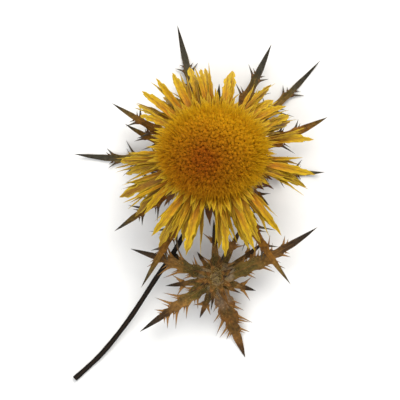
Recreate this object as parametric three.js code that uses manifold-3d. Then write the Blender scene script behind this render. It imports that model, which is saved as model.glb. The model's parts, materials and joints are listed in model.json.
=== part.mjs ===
// A dried thistle flower head, as picked and laid down. The open head faces up and rests on its spiny
// outer bracts. Its cut stem, which carries one leafy side shoot, bends over behind the head and lies along
// the surface. Millimetres, +Z up. The surface is Z = 0, and the origin is on it, under the middle of the
// whole piece.
import * as THREE from "three";
import { mergeVertices } from "three/addons/utils/BufferGeometryUtils.js";
import Module from "manifold-3d";

const wasm = await Module();
wasm.setup();

// ---------------------------------------------------------------- driving dimensions

const GAP = 0.3; // between two neighbouring pieces
const MIDDLE_OF_WHOLE = [2.8, 1.3]; // in the frame that the places below are given in
const GOLDEN_ANGLE = Math.PI * (3 - Math.sqrt(5));

// The head's own frame has its origin in the middle of the disc's rim and its axis out of the open face.
const HEAD = { centre: [6.2, 12.4, 22], tilt: 8 };

// Florets stand out of a low dome, a little shorter from top to bottom than it is wide: brown ones in the
// middle, golden ones round the rim.
const DISC = { radius: 11, oval: 0.82, height: 6.8, sides: 24, florets: 360, lowest: 0.14, split: 0.58 };
const FLORET = { length: 3.4, spread: 0.9, halfWidth: 0.62, lean: 0.16, sunk: 0.55, clear: 0.11 };

// Golden, papery inner bracts, which look like the rays of a daisy, in two layers on one plate.
const RAYS = { count: 74, plate: 11.6, top: -0.3, depth: 1.9, root: 10.2, layerStep: 0.55 };
const RAY = { reach: 24.6, reachSpread: 2.8, width: 2.1, thickness: 0.62, rise: 2.2, sag: 7.2, swing: 1.9 };
// Directions in which the rays have parted or been lost: degrees anticlockwise from +X, and half the gap.
const RAY_GAPS = [
  { at: 6, half: 8 },
  { at: 20, half: 3 },
  { at: 65, half: 7 },
  { at: 86, half: 4 },
  { at: 106, half: 3 },
  { at: 163, half: 15 },
  { at: 196, half: 3 },
  { at: 225, half: 6 },
  { at: 267, half: 6 },
  { at: 326, half: 12 },
];

// Short brown bracts under the rays.
const MIDDLE = { count: 22, plate: 11.4, top: -2.5, depth: 1.2, root: 10.8, reach: 16.4, reachSpread: 1.6 };
const MIDDLE_BRACT = { width: 2.1, thickness: 0.7, drop: 4.8, belly: 1.3 };

// The cup behind the disc: radius and height of each turn of its profile, from the stem up.
const CUP = [
  [0, -12.6],
  [2.2, -12.6],
  [5.2, -10.9],
  [8.6, -7.8],
  [10.2, -4.0],
  [0, -4.0],
];
const CUP_SIDES = 24;

// Leafy outer bracts: direction, radius of the tip, width, and depth of the belly below the root.
// One that rests has its belly on the surface, and its depth follows from that.
const OUTER_BRACTS = [
  { around: 0, reach: 30, width: 3.8, rests: true },
  { around: 20, reach: 33, width: 4.8, drop: 4.4 },
  { around: 45, reach: 41.5, width: 3.6, rests: true },
  { around: 63, reach: 36.5, width: 4.4, drop: 4.6 },
  { around: 85, reach: 22.5, width: 3.2, drop: 6.5 },
  { around: 104, reach: 40.5, width: 4.2, rests: true },
  { around: 126, reach: 25, width: 3.4, drop: 6 },
  { around: 149, reach: 31.5, width: 3.6, drop: 3.6 },
  { around: 157, reach: 26, width: 3.2, drop: 6 },
  { around: 171, reach: 37.5, width: 4.0, rests: true },
  { around: 193, reach: 23.5, width: 3.2, drop: 7.5 },
  { around: 212, reach: 31.5, width: 3.8, drop: 6.5 },
  { around: 239, reach: 38, width: 3.6, drop: 6.5 },
  { around: 301, reach: 38, width: 3.8, drop: 7 },
  { around: 327, reach: 18.5, width: 3.4, drop: 5.5 },
];
const OUTER_BRACT = { root: 7.4, height: -8.4, belly: 0.72, thickness: 0.8, fold: 0.22, swing: 1.6 };

// The stem's middle line from the cup down to the cut, in the part's frame, and its radius along the way.
const STEM_LINE = [
  [6.2, 10.61, 9.23],
  [6.2, 10.43, 7.94],
  [5.5, 8.4, 6.6],
  [3.6, 3.6, 6.1],
  [-2.4, -9.4, 5.7],
  [-9.2, -19.8, 4.7],
  [-16.4, -30.6, 3.0],
  [-23.2, -39.0, 1.1],
  [-26.9, -42.6, 0.55],
  [-30.6, -45.9, 0.55],
];
const STEM = { neck: 1.5, neckLength: 4, top: 0.6, cut: 0.68, ribs: 5, ribDepth: 0.06, steps: 56 };

// The twig that carries the side shoot: it leaves the stem below the head and turns up.
const TWIG_LINE = [
  [-4.3, -12.6, 5.5],
  [-0.4, -16.4, 4.9],
  [4.6, -19.1, 5.0],
  [6.9, -19.8, 6.9],
  [7.0, -19.8, 8.4],
];
const TWIG = { root: 0.54, end: 0.62, sides: 8, steps: 10 };

// The side shoot's frame is at its tip, where its leaves spread from.
const SHOOT = { centre: [7.0, -19.8, 10.2], knob: 1.9, foot: -1.4, shoulder: 0.9, crown: 1.7, sides: 10 };
const LEAVES = [
  { around: 19, reach: 30, width: 4.4, drop: 2.5, belly: 0.6, swing: 4.4, thorns: 4 },
  { around: 38, reach: 17, width: 2.8, drop: 4.2, belly: 0.8, thorns: 2 },
  { around: 64, reach: 16, width: 3.0, drop: 1.6, belly: 0.8, thorns: 2 },
  { around: 92, reach: 16, width: 2.8, drop: 1.4, belly: 0.8, thorns: 2 },
  { around: 124, reach: 9, width: 2.6, drop: 2.2, belly: 0.9, thorns: 1 },
  { around: 157, reach: 24, width: 3.8, drop: 1.6, belly: 0.5, swing: 1.4, thorns: 4 },
  { around: 187, reach: 13.5, width: 2.8, drop: 2.6, belly: 0.8, thorns: 2 },
  { around: 213, reach: 24.5, width: 3.8, drop: 3.4, belly: 0.8, swing: 0.6, thorns: 4 },
  { around: 247, reach: 11, width: 3.0, drop: 5, belly: 0.9, thorns: 2 },
  { around: 291, reach: 22, width: 5.4, rests: true, belly: 0.94, thorns: 5 },
  { around: 345, reach: 11, width: 3.0, drop: 4, belly: 0.9, thorns: 2 },
];
const LEAF = { root: 0.6, height: 0.2, thickness: 0.8, fold: 0.2, swing: 0 };

// Thorns along both edges of a leaf or an outer bract, as shares of its length and width.
const THORN = { first: 0.24, last: 0.62, length: 4.2, width: 1.5, thickness: 0.62, lean: 48, inset: 0.5 };

// How far a belly is pressed below the surface before it is cut flat there.
const PRESSED = 0.2;

const COLOURS = {
  stem: 0x231a14,
  leafyShoot: 0x644c2a,
  outerBracts: 0x6a4e28,
  middleBracts: 0x644019,
  rayBracts: 0xa98323,
  rimFlorets: 0xaf7305,
  discFlorets: 0x8a5008,
};

// ---------------------------------------------------------------- small helpers

const radians = (degrees) => (degrees * Math.PI) / 180;
const vector = ([x, y, z]) => new THREE.Vector3(x, y, z);

// A repeatable number from 0 to 1 for piece i of a set.
function scatter(i, set) {
  const x = Math.sin(i * 12.9898 + set * 78.233) * 43758.5453;
  return x - Math.floor(x);
}

// The same from -1 to 1.
const jitter = (i, set) => 2 * scatter(i, set) - 1;

// A closed surface through rings of points that go anticlockwise round the way along. With a tip it ends
// in a point.
function loft(rings, tip) {
  const around = rings[0].length;
  const points = rings.flat();
  const index = [];
  for (let k = 2; k < around; k++) index.push(0, k, k - 1);
  for (let ring = 1; ring < rings.length; ring++) {
    for (let k = 0; k < around; k++) {
      const a = (ring - 1) * around + k;
      const b = (ring - 1) * around + ((k + 1) % around);
      index.push(a, b, b + around, a, b + around, a + around);
    }
  }
  const last = (rings.length - 1) * around;
  if (tip) {
    points.push(tip);
    const end = points.length - 1;
    for (let k = 0; k < around; k++) index.push(last + k, last + ((k + 1) % around), end);
  } else {
    for (let k = 2; k < around; k++) index.push(last, last + k - 1, last + k);
  }
  return new THREE.BufferGeometry().setFromPoints(points).setIndex(index);
}

// A shape turned about +Z, from a profile of radius and height that starts and ends on the axis or closes
// on itself.
function turned(profile, sides) {
  const points = profile.map(([radius, height]) => new THREE.Vector2(radius, height));
  return new THREE.LatheGeometry(points, sides).rotateX(Math.PI / 2);
}

function toSolid(geometry) {
  const bare = new THREE.BufferGeometry();
  bare.setAttribute("position", geometry.getAttribute("position"));
  bare.setIndex(geometry.getIndex());
  const merged = mergeVertices(bare, 1e-4);
  const vertProperties = new Float32Array(merged.getAttribute("position").array);
  const triVerts = new Uint32Array(merged.getIndex().array);
  return new wasm.Manifold(new wasm.Mesh({ numProp: 3, vertProperties, triVerts }));
}

function toGeometry(solid) {
  const { numProp, vertProperties, triVerts } = body(solid).getMesh();
  const positions = new Float32Array((vertProperties.length / numProp) * 3);
  for (let i = 0; i < positions.length / 3; i++) {
    positions.set(vertProperties.subarray(i * numProp, i * numProp + 3), i * 3);
  }
  const geometry = new THREE.BufferGeometry();
  geometry.setAttribute("position", new THREE.BufferAttribute(positions, 3));
  geometry.setIndex(new THREE.BufferAttribute(triVerts, 1));
  return geometry.toNonIndexed();
}

// All the pieces of a node joined in one solid.
const fused = (geometries) => wasm.Manifold.union(geometries.map(toSolid));

// The body of a solid alone, with its sealed hollows filled and no loose scraps.
const body = (solid) => solid.decompose().reduce((a, b) => (a.volume() > b.volume() ? a : b));

// Cuts a solid of a group flat where it would go below the surface Z = 0.
function cutAtSurface(solid, group) {
  group.updateMatrixWorld(true);
  const up = new THREE.Vector3(0, 0, 1).transformDirection(group.matrixWorld.clone().invert());
  return solid.trimByPlane(up.toArray(), -group.position.z);
}

function named(name, geometry, color, roughness) {
  geometry.computeVertexNormals();
  const mesh = new THREE.Mesh(geometry, new THREE.MeshStandardMaterial({ color, roughness, metalness: 0 }));
  mesh.name = name;
  return mesh;
}

// ---------------------------------------------------------------- blades: rays, bracts and leaves

// A blade grows outwards from an axis. Along its length, t goes from 0 at the root to 1 at the tip.
class Blade {
  // The values are around, its direction in degrees, root and reach, the radii of its two ends, height,
  // slope and bend, which give its height along its length, width, thickness and outline. Some blades also
  // have a swing, which carries the tip sideways, a twist of the tip in radians, and a fold, which lifts
  // the edges.
  constructor(values) {
    Object.assign(this, { swing: 0, twist: 0, fold: 0, ...values });
    const angle = radians(this.around);
    this.out = new THREE.Vector3(Math.cos(angle), Math.sin(angle), 0);
    this.across = new THREE.Vector3(-this.out.y, this.out.x, 0);
  }

  // The middle line.
  centre(t) {
    const height = this.height + this.slope * t + this.bend * t * t;
    const point = this.out.clone().multiplyScalar(this.root + (this.reach - this.root) * t);
    return point.addScaledVector(this.across, this.swing * t * t).setZ(height);
  }

  // The way along, the way across and the way up from the blade's face, at t.
  frame(t) {
    const along = this.out.clone().multiplyScalar(this.reach - this.root);
    along.addScaledVector(this.across, 2 * this.swing * t);
    along.setZ(this.slope + 2 * this.bend * t).normalize();
    const side = this.across.clone().addScaledVector(along, -this.across.dot(along)).normalize();
    side.applyAxisAngle(along, this.twist * t);
    return { along, side, up: new THREE.Vector3().crossVectors(along, side) };
  }

  halfWidth(t) {
    const k = this.outline.findIndex(([at]) => at >= t);
    if (k <= 0) return (this.outline[0][1] * this.width) / 2;
    const [[t0, w0], [t1, w1]] = [this.outline[k - 1], this.outline[k]];
    return ((w0 + ((w1 - w0) * (t - t0)) / (t1 - t0)) * this.width) / 2;
  }

  // Four corners: one edge, the top's middle, the other edge and the underside's keel.
  section(t) {
    const { side, up } = this.frame(t);
    const middle = this.centre(t);
    const half = this.halfWidth(t);
    const thick = Math.min(this.thickness, half * 2) / 2;
    const at = (x, y) => middle.clone().addScaledVector(side, x).addScaledVector(up, y);
    const raised = this.fold * half;
    return [at(half, raised), at(0, thick), at(-half, raised), at(0, -thick)];
  }

  geometry() {
    const stations = this.outline.slice(0, -1).map(([t]) => t);
    return loft(stations.map((t) => this.section(t)), this.centre(1));
  }

  // A flat thorn that leaves one edge at t. way is 1 or -1.
  thorn(t, way, length, width) {
    const { along, side, up } = this.frame(t);
    const outwards = side.clone().multiplyScalar(way);
    const inset = this.halfWidth(t) * THORN.inset;
    const foot = this.centre(t).addScaledVector(outwards, inset).addScaledVector(up, this.fold * inset);
    const lean = radians(THORN.lean);
    const direction = along.multiplyScalar(Math.cos(lean)).addScaledVector(outwards, Math.sin(lean));
    const breadth = new THREE.Vector3().crossVectors(up, direction).multiplyScalar(width / 2);
    const rise = up.clone().multiplyScalar(THORN.thickness / 2);
    const ring = [
      foot.clone().add(breadth),
      foot.clone().add(rise),
      foot.clone().sub(breadth),
      foot.clone().sub(rise),
    ];
    return loft([ring], foot.clone().addScaledVector(direction, length));
  }
}

// The share of its full width that a blade has along its length.
const RAY_OUTLINE = [[0, 0.6], [0.3, 0.85], [0.62, 1], [0.86, 0.62], [1, 0]];
const BRACT_OUTLINE = [
  [0, 0.8],
  [0.2, 1],
  [0.42, 0.95],
  [0.58, 0.64],
  [0.72, 0.45],
  [0.88, 0.23],
  [1, 0],
];
const SHORT_OUTLINE = [[0, 0.9], [0.4, 1], [0.72, 0.5], [1, 0]];

// A blade that sags by drop to its belly, which is at the share belly of its length, and rises again
// after it.
const sagging = (drop, belly) => ({ slope: (-2 * drop) / belly, bend: drop / (belly * belly) });

// How deep a blade's belly lies below its root, in the frame of its group, for the belly to press on the
// surface.
function dropToSurface(values, group) {
  group.updateMatrixWorld(true);
  const level = new Blade({ ...values, slope: 0, bend: 0, outline: [] });
  const over = level.centre(values.belly).applyMatrix4(group.matrixWorld);
  return (over.z + PRESSED - values.thickness / 2) / Math.cos(group.rotation.x);
}

// A leaf or an outer bract with thorns along both of its edges.
function thornyBlade(values, thorns, i, set) {
  const blade = new Blade({ ...values, outline: BRACT_OUTLINE });
  const pieces = [blade.geometry()];
  for (let k = 0; k < thorns; k++) {
    for (const way of [1, -1]) {
      const n = i * 20 + k * 2 + (way > 0 ? 1 : 0);
      const share = thorns > 1 ? k / (thorns - 1) : 0.5;
      const t = THORN.first + (THORN.last - THORN.first) * share + 0.03 * jitter(n, set);
      const size = (0.85 + 0.35 * scatter(n, set + 1)) * (0.8 + 0.4 * Math.sin(Math.PI * share));
      pieces.push(blade.thorn(t, way, THORN.length * size, THORN.width));
    }
  }
  return pieces;
}

// ---------------------------------------------------------------- the head

// The dome's point and its direction outwards, at a latitude whose sine is given.
function onDome(sine, azimuth) {
  const cosine = Math.sqrt(1 - sine * sine);
  const unit = new THREE.Vector3(Math.cos(azimuth) * cosine, Math.sin(azimuth) * cosine, sine);
  const size = new THREE.Vector3(DISC.radius, DISC.radius * DISC.oval, DISC.height);
  return { point: unit.clone().multiply(size), normal: unit.divide(size).normalize() };
}

// A three-sided floret that stands out of the dome.
function floret(i, sine) {
  const { point, normal } = onDome(sine, i * GOLDEN_ANGLE);
  const lean = new THREE.Vector3(jitter(i, 1), jitter(i, 2), jitter(i, 3)).multiplyScalar(FLORET.lean);
  const direction = normal.clone().add(lean).normalize();
  const side = new THREE.Vector3().crossVectors(direction, new THREE.Vector3(0.3, 0.2, 1)).normalize();
  const foot = point.clone().addScaledVector(normal, -FLORET.sunk);
  const corner = side.multiplyScalar(FLORET.halfWidth);
  const ring = [0, 1, 2].map((k) => {
    const turn = (k * 2 * Math.PI) / 3;
    return corner.clone().applyAxisAngle(direction, turn).add(foot);
  });
  const length = FLORET.sunk + FLORET.length + FLORET.spread * jitter(i, 4);
  return loft([ring], foot.clone().addScaledVector(direction, length));
}

// The florets whose place on the dome lies between two heights, given as sines of the latitude.
function floretsBetween(low, high) {
  const made = [];
  for (let i = 0; i < DISC.florets; i++) {
    const sine = 1 - ((i + 0.5) / DISC.florets) * (1 - DISC.lowest);
    if (sine > low && sine < high) made.push(floret(i, sine));
  }
  return made;
}

// The dome's profile between two heights.
function domeProfile(low, high, steps) {
  const from = Math.asin(low);
  const to = Math.asin(high);
  return Array.from({ length: steps + 1 }, (_, k) => {
    const latitude = from + ((to - from) * k) / steps;
    return [DISC.radius * Math.cos(latitude), DISC.height * Math.sin(latitude)];
  });
}

function discFlorets() {
  const edge = DISC.radius * Math.sqrt(1 - DISC.split ** 2) - GAP;
  const dome = domeProfile(DISC.split, 1, 4).slice(1, -1);
  const profile = [[0, 0], [edge, 0], [edge, DISC.height * DISC.split], ...dome, [0, DISC.height]];
  const core = turned(profile, DISC.sides).scale(1, DISC.oval, 1);
  return toGeometry(fused([core, ...floretsBetween(DISC.split + FLORET.clear, 1)]));
}

function rimFlorets() {
  const inner = DISC.radius * Math.sqrt(1 - DISC.split ** 2);
  const dome = domeProfile(0, DISC.split, 3);
  const profile = [[inner, 0], ...dome.slice(0, -1), [inner, DISC.height * DISC.split], [inner, 0]];
  const ring = turned(profile, DISC.sides).scale(1, DISC.oval, 1);
  return toGeometry(fused([ring, ...floretsBetween(0, DISC.split - FLORET.clear)]));
}

// The angle between two directions, in degrees.
const between = (a, b) => Math.abs(((a - b + 540) % 360) - 180);

// Whether a direction in degrees falls in one of the gaps between the rays.
const inGap = (around) => RAY_GAPS.some(({ at, half }) => between(around, at) < half);

// Ray i of the ring, or nothing where it is lost. Odd rays make the lower layer.
function ray(i) {
  const around = ((i + 0.4 * jitter(i, 11)) * 360) / RAYS.count;
  if (inGap(around)) return null;
  const lower = i % 2;
  return new Blade({
    around,
    root: RAYS.root,
    reach: RAY.reach + RAY.reachSpread * jitter(i, 12),
    height: RAYS.top - RAYS.depth / 2 - lower * RAYS.layerStep,
    slope: RAY.rise * (1 - lower) + 0.8 * jitter(i, 13),
    bend: -RAY.sag - lower * 1.6 + 1.6 * jitter(i, 14),
    swing: RAY.swing * jitter(i, 15),
    twist: 0.5 * jitter(i, 16),
    width: RAY.width * (1 + 0.15 * jitter(i, 17)),
    thickness: RAY.thickness,
    outline: RAY_OUTLINE,
  });
}

// A flat round plate below a height.
function plate(radius, top, depth, sides) {
  return turned([[0, top - depth], [radius, top - depth], [radius, top], [0, top]], sides);
}

function rayBracts() {
  const rays = Array.from({ length: RAYS.count }, (_, i) => ray(i)).filter(Boolean);
  const base = plate(RAYS.plate, RAYS.top, RAYS.depth, CUP_SIDES);
  return toGeometry(fused([base, ...rays.map((blade) => blade.geometry())]));
}

function middleBracts() {
  const base = plate(MIDDLE.plate, MIDDLE.top, MIDDLE.depth, CUP_SIDES);
  const bracts = Array.from({ length: MIDDLE.count }, (_, i) => {
    const blade = new Blade({
      around: ((i + 0.25 * jitter(i, 21)) * 360) / MIDDLE.count,
      root: MIDDLE.root,
      reach: MIDDLE.reach + MIDDLE.reachSpread * jitter(i, 22),
      height: MIDDLE.top - MIDDLE.depth / 2,
      ...sagging(MIDDLE_BRACT.drop + 0.9 * jitter(i, 23), MIDDLE_BRACT.belly),
      swing: jitter(i, 24),
      width: MIDDLE_BRACT.width,
      thickness: MIDDLE_BRACT.thickness,
      outline: SHORT_OUTLINE,
    });
    return blade.geometry();
  });
  return toGeometry(fused([base, ...bracts]));
}

function outerBracts(group) {
  const pieces = [turned(CUP, CUP_SIDES)];
  OUTER_BRACTS.forEach((bract, i) => {
    const values = { ...OUTER_BRACT, ...bract, swing: OUTER_BRACT.swing * jitter(i, 31) };
    const drop = bract.rests ? dropToSurface(values, group) : bract.drop;
    pieces.push(...thornyBlade({ ...values, ...sagging(drop, values.belly) }, 3, i, 32));
  });
  return toGeometry(cutAtSurface(fused(pieces), group));
}

// ---------------------------------------------------------------- the stem and its side shoot

// A tube along a curve. radiusAt gives the radius at a share of the curve's length, and every other corner
// stands out as a rib.
function tube(curve, steps, sides, radiusAt, ribDepth) {
  const { normals, binormals } = curve.computeFrenetFrames(steps, false);
  const rings = [];
  for (let k = 0; k <= steps; k++) {
    const at = curve.getPointAt(k / steps);
    const ring = [];
    for (let n = 0; n < sides; n++) {
      const angle = (n * 2 * Math.PI) / sides;
      const radius = radiusAt(k / steps) + (n % 2 ? -ribDepth : ribDepth);
      const point = at.clone().addScaledVector(normals[k], radius * Math.cos(angle));
      ring.push(point.addScaledVector(binormals[k], radius * Math.sin(angle)));
    }
    rings.push(ring);
  }
  return loft(rings);
}

function stem() {
  const line = new THREE.CatmullRomCurve3(STEM_LINE.map(vector));
  const length = line.getLength();
  const stalkRadius = (share) => {
    const neck = Math.max(0, 1 - (share * length) / STEM.neckLength);
    return STEM.top + (STEM.cut - STEM.top) * share + (STEM.neck - STEM.top) * neck * neck;
  };
  const twigLine = new THREE.CatmullRomCurve3(TWIG_LINE.map(vector));
  const twigRadius = (share) => TWIG.root + (TWIG.end - TWIG.root) * share;
  const stalk = tube(line, STEM.steps, STEM.ribs * 2, stalkRadius, STEM.ribDepth);
  const twig = tube(twigLine, TWIG.steps, TWIG.sides, twigRadius, 0);
  const ground = new THREE.Group();
  return toGeometry(cutAtSurface(fused([stalk, twig]), ground));
}

function leafyShoot(group) {
  const { knob, foot, shoulder, crown, sides } = SHOOT;
  const profile = [
    [0, foot],
    [TWIG.end, foot],
    [knob, foot + shoulder],
    [knob * 0.8, crown * 0.6],
    [0, crown],
  ];
  const pieces = [turned(profile, sides)];
  LEAVES.forEach((leaf, i) => {
    const values = { ...LEAF, ...leaf };
    const drop = leaf.rests ? dropToSurface(values, group) : leaf.drop;
    pieces.push(...thornyBlade({ ...values, ...sagging(drop, leaf.belly) }, leaf.thorns, i, 42));
  });
  return toGeometry(cutAtSurface(fused(pieces), group));
}

// ---------------------------------------------------------------- the whole

const head = new THREE.Group();
head.position.set(...HEAD.centre);
head.rotation.x = -radians(HEAD.tilt);
head.add(
  named("disc_florets", discFlorets(), COLOURS.discFlorets, 0.85),
  named("rim_florets", rimFlorets(), COLOURS.rimFlorets, 0.8),
  named("ray_bracts", rayBracts(), COLOURS.rayBracts, 0.5),
  named("middle_bracts", middleBracts(), COLOURS.middleBracts, 0.75),
  named("outer_bracts", outerBracts(head), COLOURS.outerBracts, 0.7),
);

const shoot = new THREE.Group();
shoot.position.set(...SHOOT.centre);
shoot.add(named("leafy_shoot", leafyShoot(shoot), COLOURS.leafyShoot, 0.7));

const thistle = new THREE.Group();
thistle.position.set(-MIDDLE_OF_WHOLE[0], -MIDDLE_OF_WHOLE[1], 0);
thistle.add(head, shoot, named("stem", stem(), COLOURS.stem, 0.65));

export default thistle;
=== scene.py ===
"""The looks of a dried thistle flower head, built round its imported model.

Everything is in metres, with +Z up. The surface that the piece lies on is Z = 0, and the origin is on it,
under the middle of the piece. The sizes in the classes are in millimetres, in the frame of the group that
they belong to.
"""

import json
import logging
import math
from dataclasses import dataclass, replace
from enum import Enum
from typing import Iterable, Sequence

import bpy
import numpy as np
from bpy.types import Material, Mesh, Node, NodeSocket, Object
from mathutils import Matrix, Vector

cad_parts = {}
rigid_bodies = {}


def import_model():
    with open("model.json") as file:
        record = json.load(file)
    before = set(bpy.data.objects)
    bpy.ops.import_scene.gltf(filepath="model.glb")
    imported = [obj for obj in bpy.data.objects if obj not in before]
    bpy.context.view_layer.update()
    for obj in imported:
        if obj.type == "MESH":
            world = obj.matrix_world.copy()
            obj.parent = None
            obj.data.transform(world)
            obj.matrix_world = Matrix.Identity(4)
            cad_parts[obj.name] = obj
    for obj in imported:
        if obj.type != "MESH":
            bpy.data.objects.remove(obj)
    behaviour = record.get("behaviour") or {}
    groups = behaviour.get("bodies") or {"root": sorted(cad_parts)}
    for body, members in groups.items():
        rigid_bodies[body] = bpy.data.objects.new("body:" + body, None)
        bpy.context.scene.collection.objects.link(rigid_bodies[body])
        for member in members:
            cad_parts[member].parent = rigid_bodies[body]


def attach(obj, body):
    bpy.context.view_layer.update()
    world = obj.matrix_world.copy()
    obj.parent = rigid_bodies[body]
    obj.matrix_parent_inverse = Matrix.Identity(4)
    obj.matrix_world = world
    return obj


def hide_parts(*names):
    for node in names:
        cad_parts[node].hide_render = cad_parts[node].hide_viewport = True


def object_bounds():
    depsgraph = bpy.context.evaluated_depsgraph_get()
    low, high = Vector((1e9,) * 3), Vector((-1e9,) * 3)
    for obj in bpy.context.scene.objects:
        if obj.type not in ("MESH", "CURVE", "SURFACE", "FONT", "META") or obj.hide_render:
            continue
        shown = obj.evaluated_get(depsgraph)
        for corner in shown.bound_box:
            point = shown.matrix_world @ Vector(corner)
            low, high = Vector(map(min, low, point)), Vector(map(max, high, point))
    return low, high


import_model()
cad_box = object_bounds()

log = logging.getLogger("thistle")

MM = 0.001
GOLDEN_ANGLE = math.pi * (3 - math.sqrt(5))
# In the frame that the groups' places are given in.
MIDDLE_OF_WHOLE = Vector((2.8, 1.3, 0.0))
# How far the belly of a blade that rests goes below the surface, in millimetres.
PRESSED = 0.2
# What a piece has below this height, in metres, is pressed there to this share of its depth.
TOUCH = 0.0001
PRESSED_FLAT = 0.06

Colour = tuple[float, float, float]
Point = tuple[float, float, float]
Spread = tuple[float, float]
Stations = tuple[tuple[float, float], ...]
Look = tuple[NodeSocket, NodeSocket, float]


# ---------------------------------------------------------------- draws, colours and places


def scatter(index: int, group: int) -> float:
    """Returns a repeatable number from 0 to 1 for one piece of a set."""
    x = math.sin(index * 12.9898 + group * 78.233) * 43758.5453
    return x - math.floor(x)


def jitter(index: int, group: int) -> float:
    """Returns a repeatable number from -1 to 1 for one piece of a set."""
    return 2 * scatter(index, group) - 1


def strayed(size: Spread, index: int, group: int) -> float:
    """Returns a size's middle value with the stray drawn for one piece of a set."""
    return size[0] + size[1] * jitter(index, group)


def linear(colour: Colour) -> tuple[float, float, float, float]:
    """Turns a screen colour of 0 to 255 into the linear colour that a shader takes."""
    shares = [c / 255 for c in colour]
    return (*[s / 12.92 if s <= 0.04045 else ((s + 0.055) / 1.055) ** 2.4 for s in shares], 1.0)


@dataclass(frozen=True)
class Placement:
    """Where a group of pieces stands.

    Args:
        centre: The group's origin.
        tilt: How far its axis leans towards +Y, in degrees.
    """

    centre: Point
    tilt: float = 0.0

    def local(self) -> Matrix:
        """Returns the turn and place in millimetres."""
        return Matrix.Translation(self.centre) @ Matrix.Rotation(-math.radians(self.tilt), 4, "X")

    def matrix(self) -> Matrix:
        """Returns the matrix from the group's millimetres to the part's metres."""
        return Matrix.Scale(MM, 4) @ Matrix.Translation(-MIDDLE_OF_WHOLE) @ self.local()


HEAD = Placement((6.2, 12.4, 22.0), 8.0)
SHOOT = Placement((7.0, -19.8, 10.2))
GROUND = Placement((0.0, 0.0, 0.0))


# ---------------------------------------------------------------- node trees


class Graph:
    """Adds nodes to a tree and links them, for finishes and for Geometry Nodes alike."""

    def __init__(self, tree: bpy.types.NodeTree) -> None:
        """Starts on the tree that the nodes go into."""
        self.tree = tree

    def add(self, kind: str, inputs: dict[str | int, object] | None = None, **settings: object) -> Node:
        """Adds one node.

        Args:
            kind: The node's type.
            inputs: Values or sockets for its inputs, by name or by number.
            settings: The node's own properties.

        Returns:
            The new node.
        """
        node = self.tree.nodes.new(kind)
        for name, value in settings.items():
            setattr(node, name, value)
        for key, value in (inputs or {}).items():
            self.feed(self.socket(node.inputs, key), value)
        return node

    @staticmethod
    def socket(sockets: Sequence[NodeSocket], key: str | int) -> NodeSocket:
        """Finds the socket in use that has a name, or a number.

        Args:
            sockets: The node's inputs or outputs.
            key: The name or the number.

        Returns:
            The socket.
        """
        if isinstance(key, int):
            return sockets[key]
        return next(s for s in sockets if s.name == key and s.enabled)

    def feed(self, socket: NodeSocket, value: object) -> None:
        """Links a socket to another, or sets its value.

        Args:
            socket: The socket.
            value: The other socket, or the value.
        """
        if isinstance(value, NodeSocket):
            self.tree.links.new(value, socket)
        else:
            socket.default_value = value

    def math(self, operation: str, *values: float | NodeSocket) -> NodeSocket:
        """Returns the result of an operation on numbers or sockets."""
        return self.add("ShaderNodeMath", dict(enumerate(values)), operation=operation).outputs[0]

    def vector(self, operation: str, *values: object) -> NodeSocket:
        """Adds a Vector Math node.

        Args:
            operation: What it does.
            values: The vectors or sockets that it does it with. A scale factor is the second value.

        Returns:
            The result.
        """
        slots = {0: values[0], "Scale": values[1]} if operation == "SCALE" else dict(enumerate(values))
        node = self.add("ShaderNodeVectorMath", slots, operation=operation)
        return node.outputs["Value" if operation in ("DOT_PRODUCT", "LENGTH") else "Vector"]

    def combine(self, x: object, y: object, z: object) -> NodeSocket:
        """Returns a vector of three values."""
        return self.add("ShaderNodeCombineXYZ", {0: x, 1: y, 2: z}).outputs[0]


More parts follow.
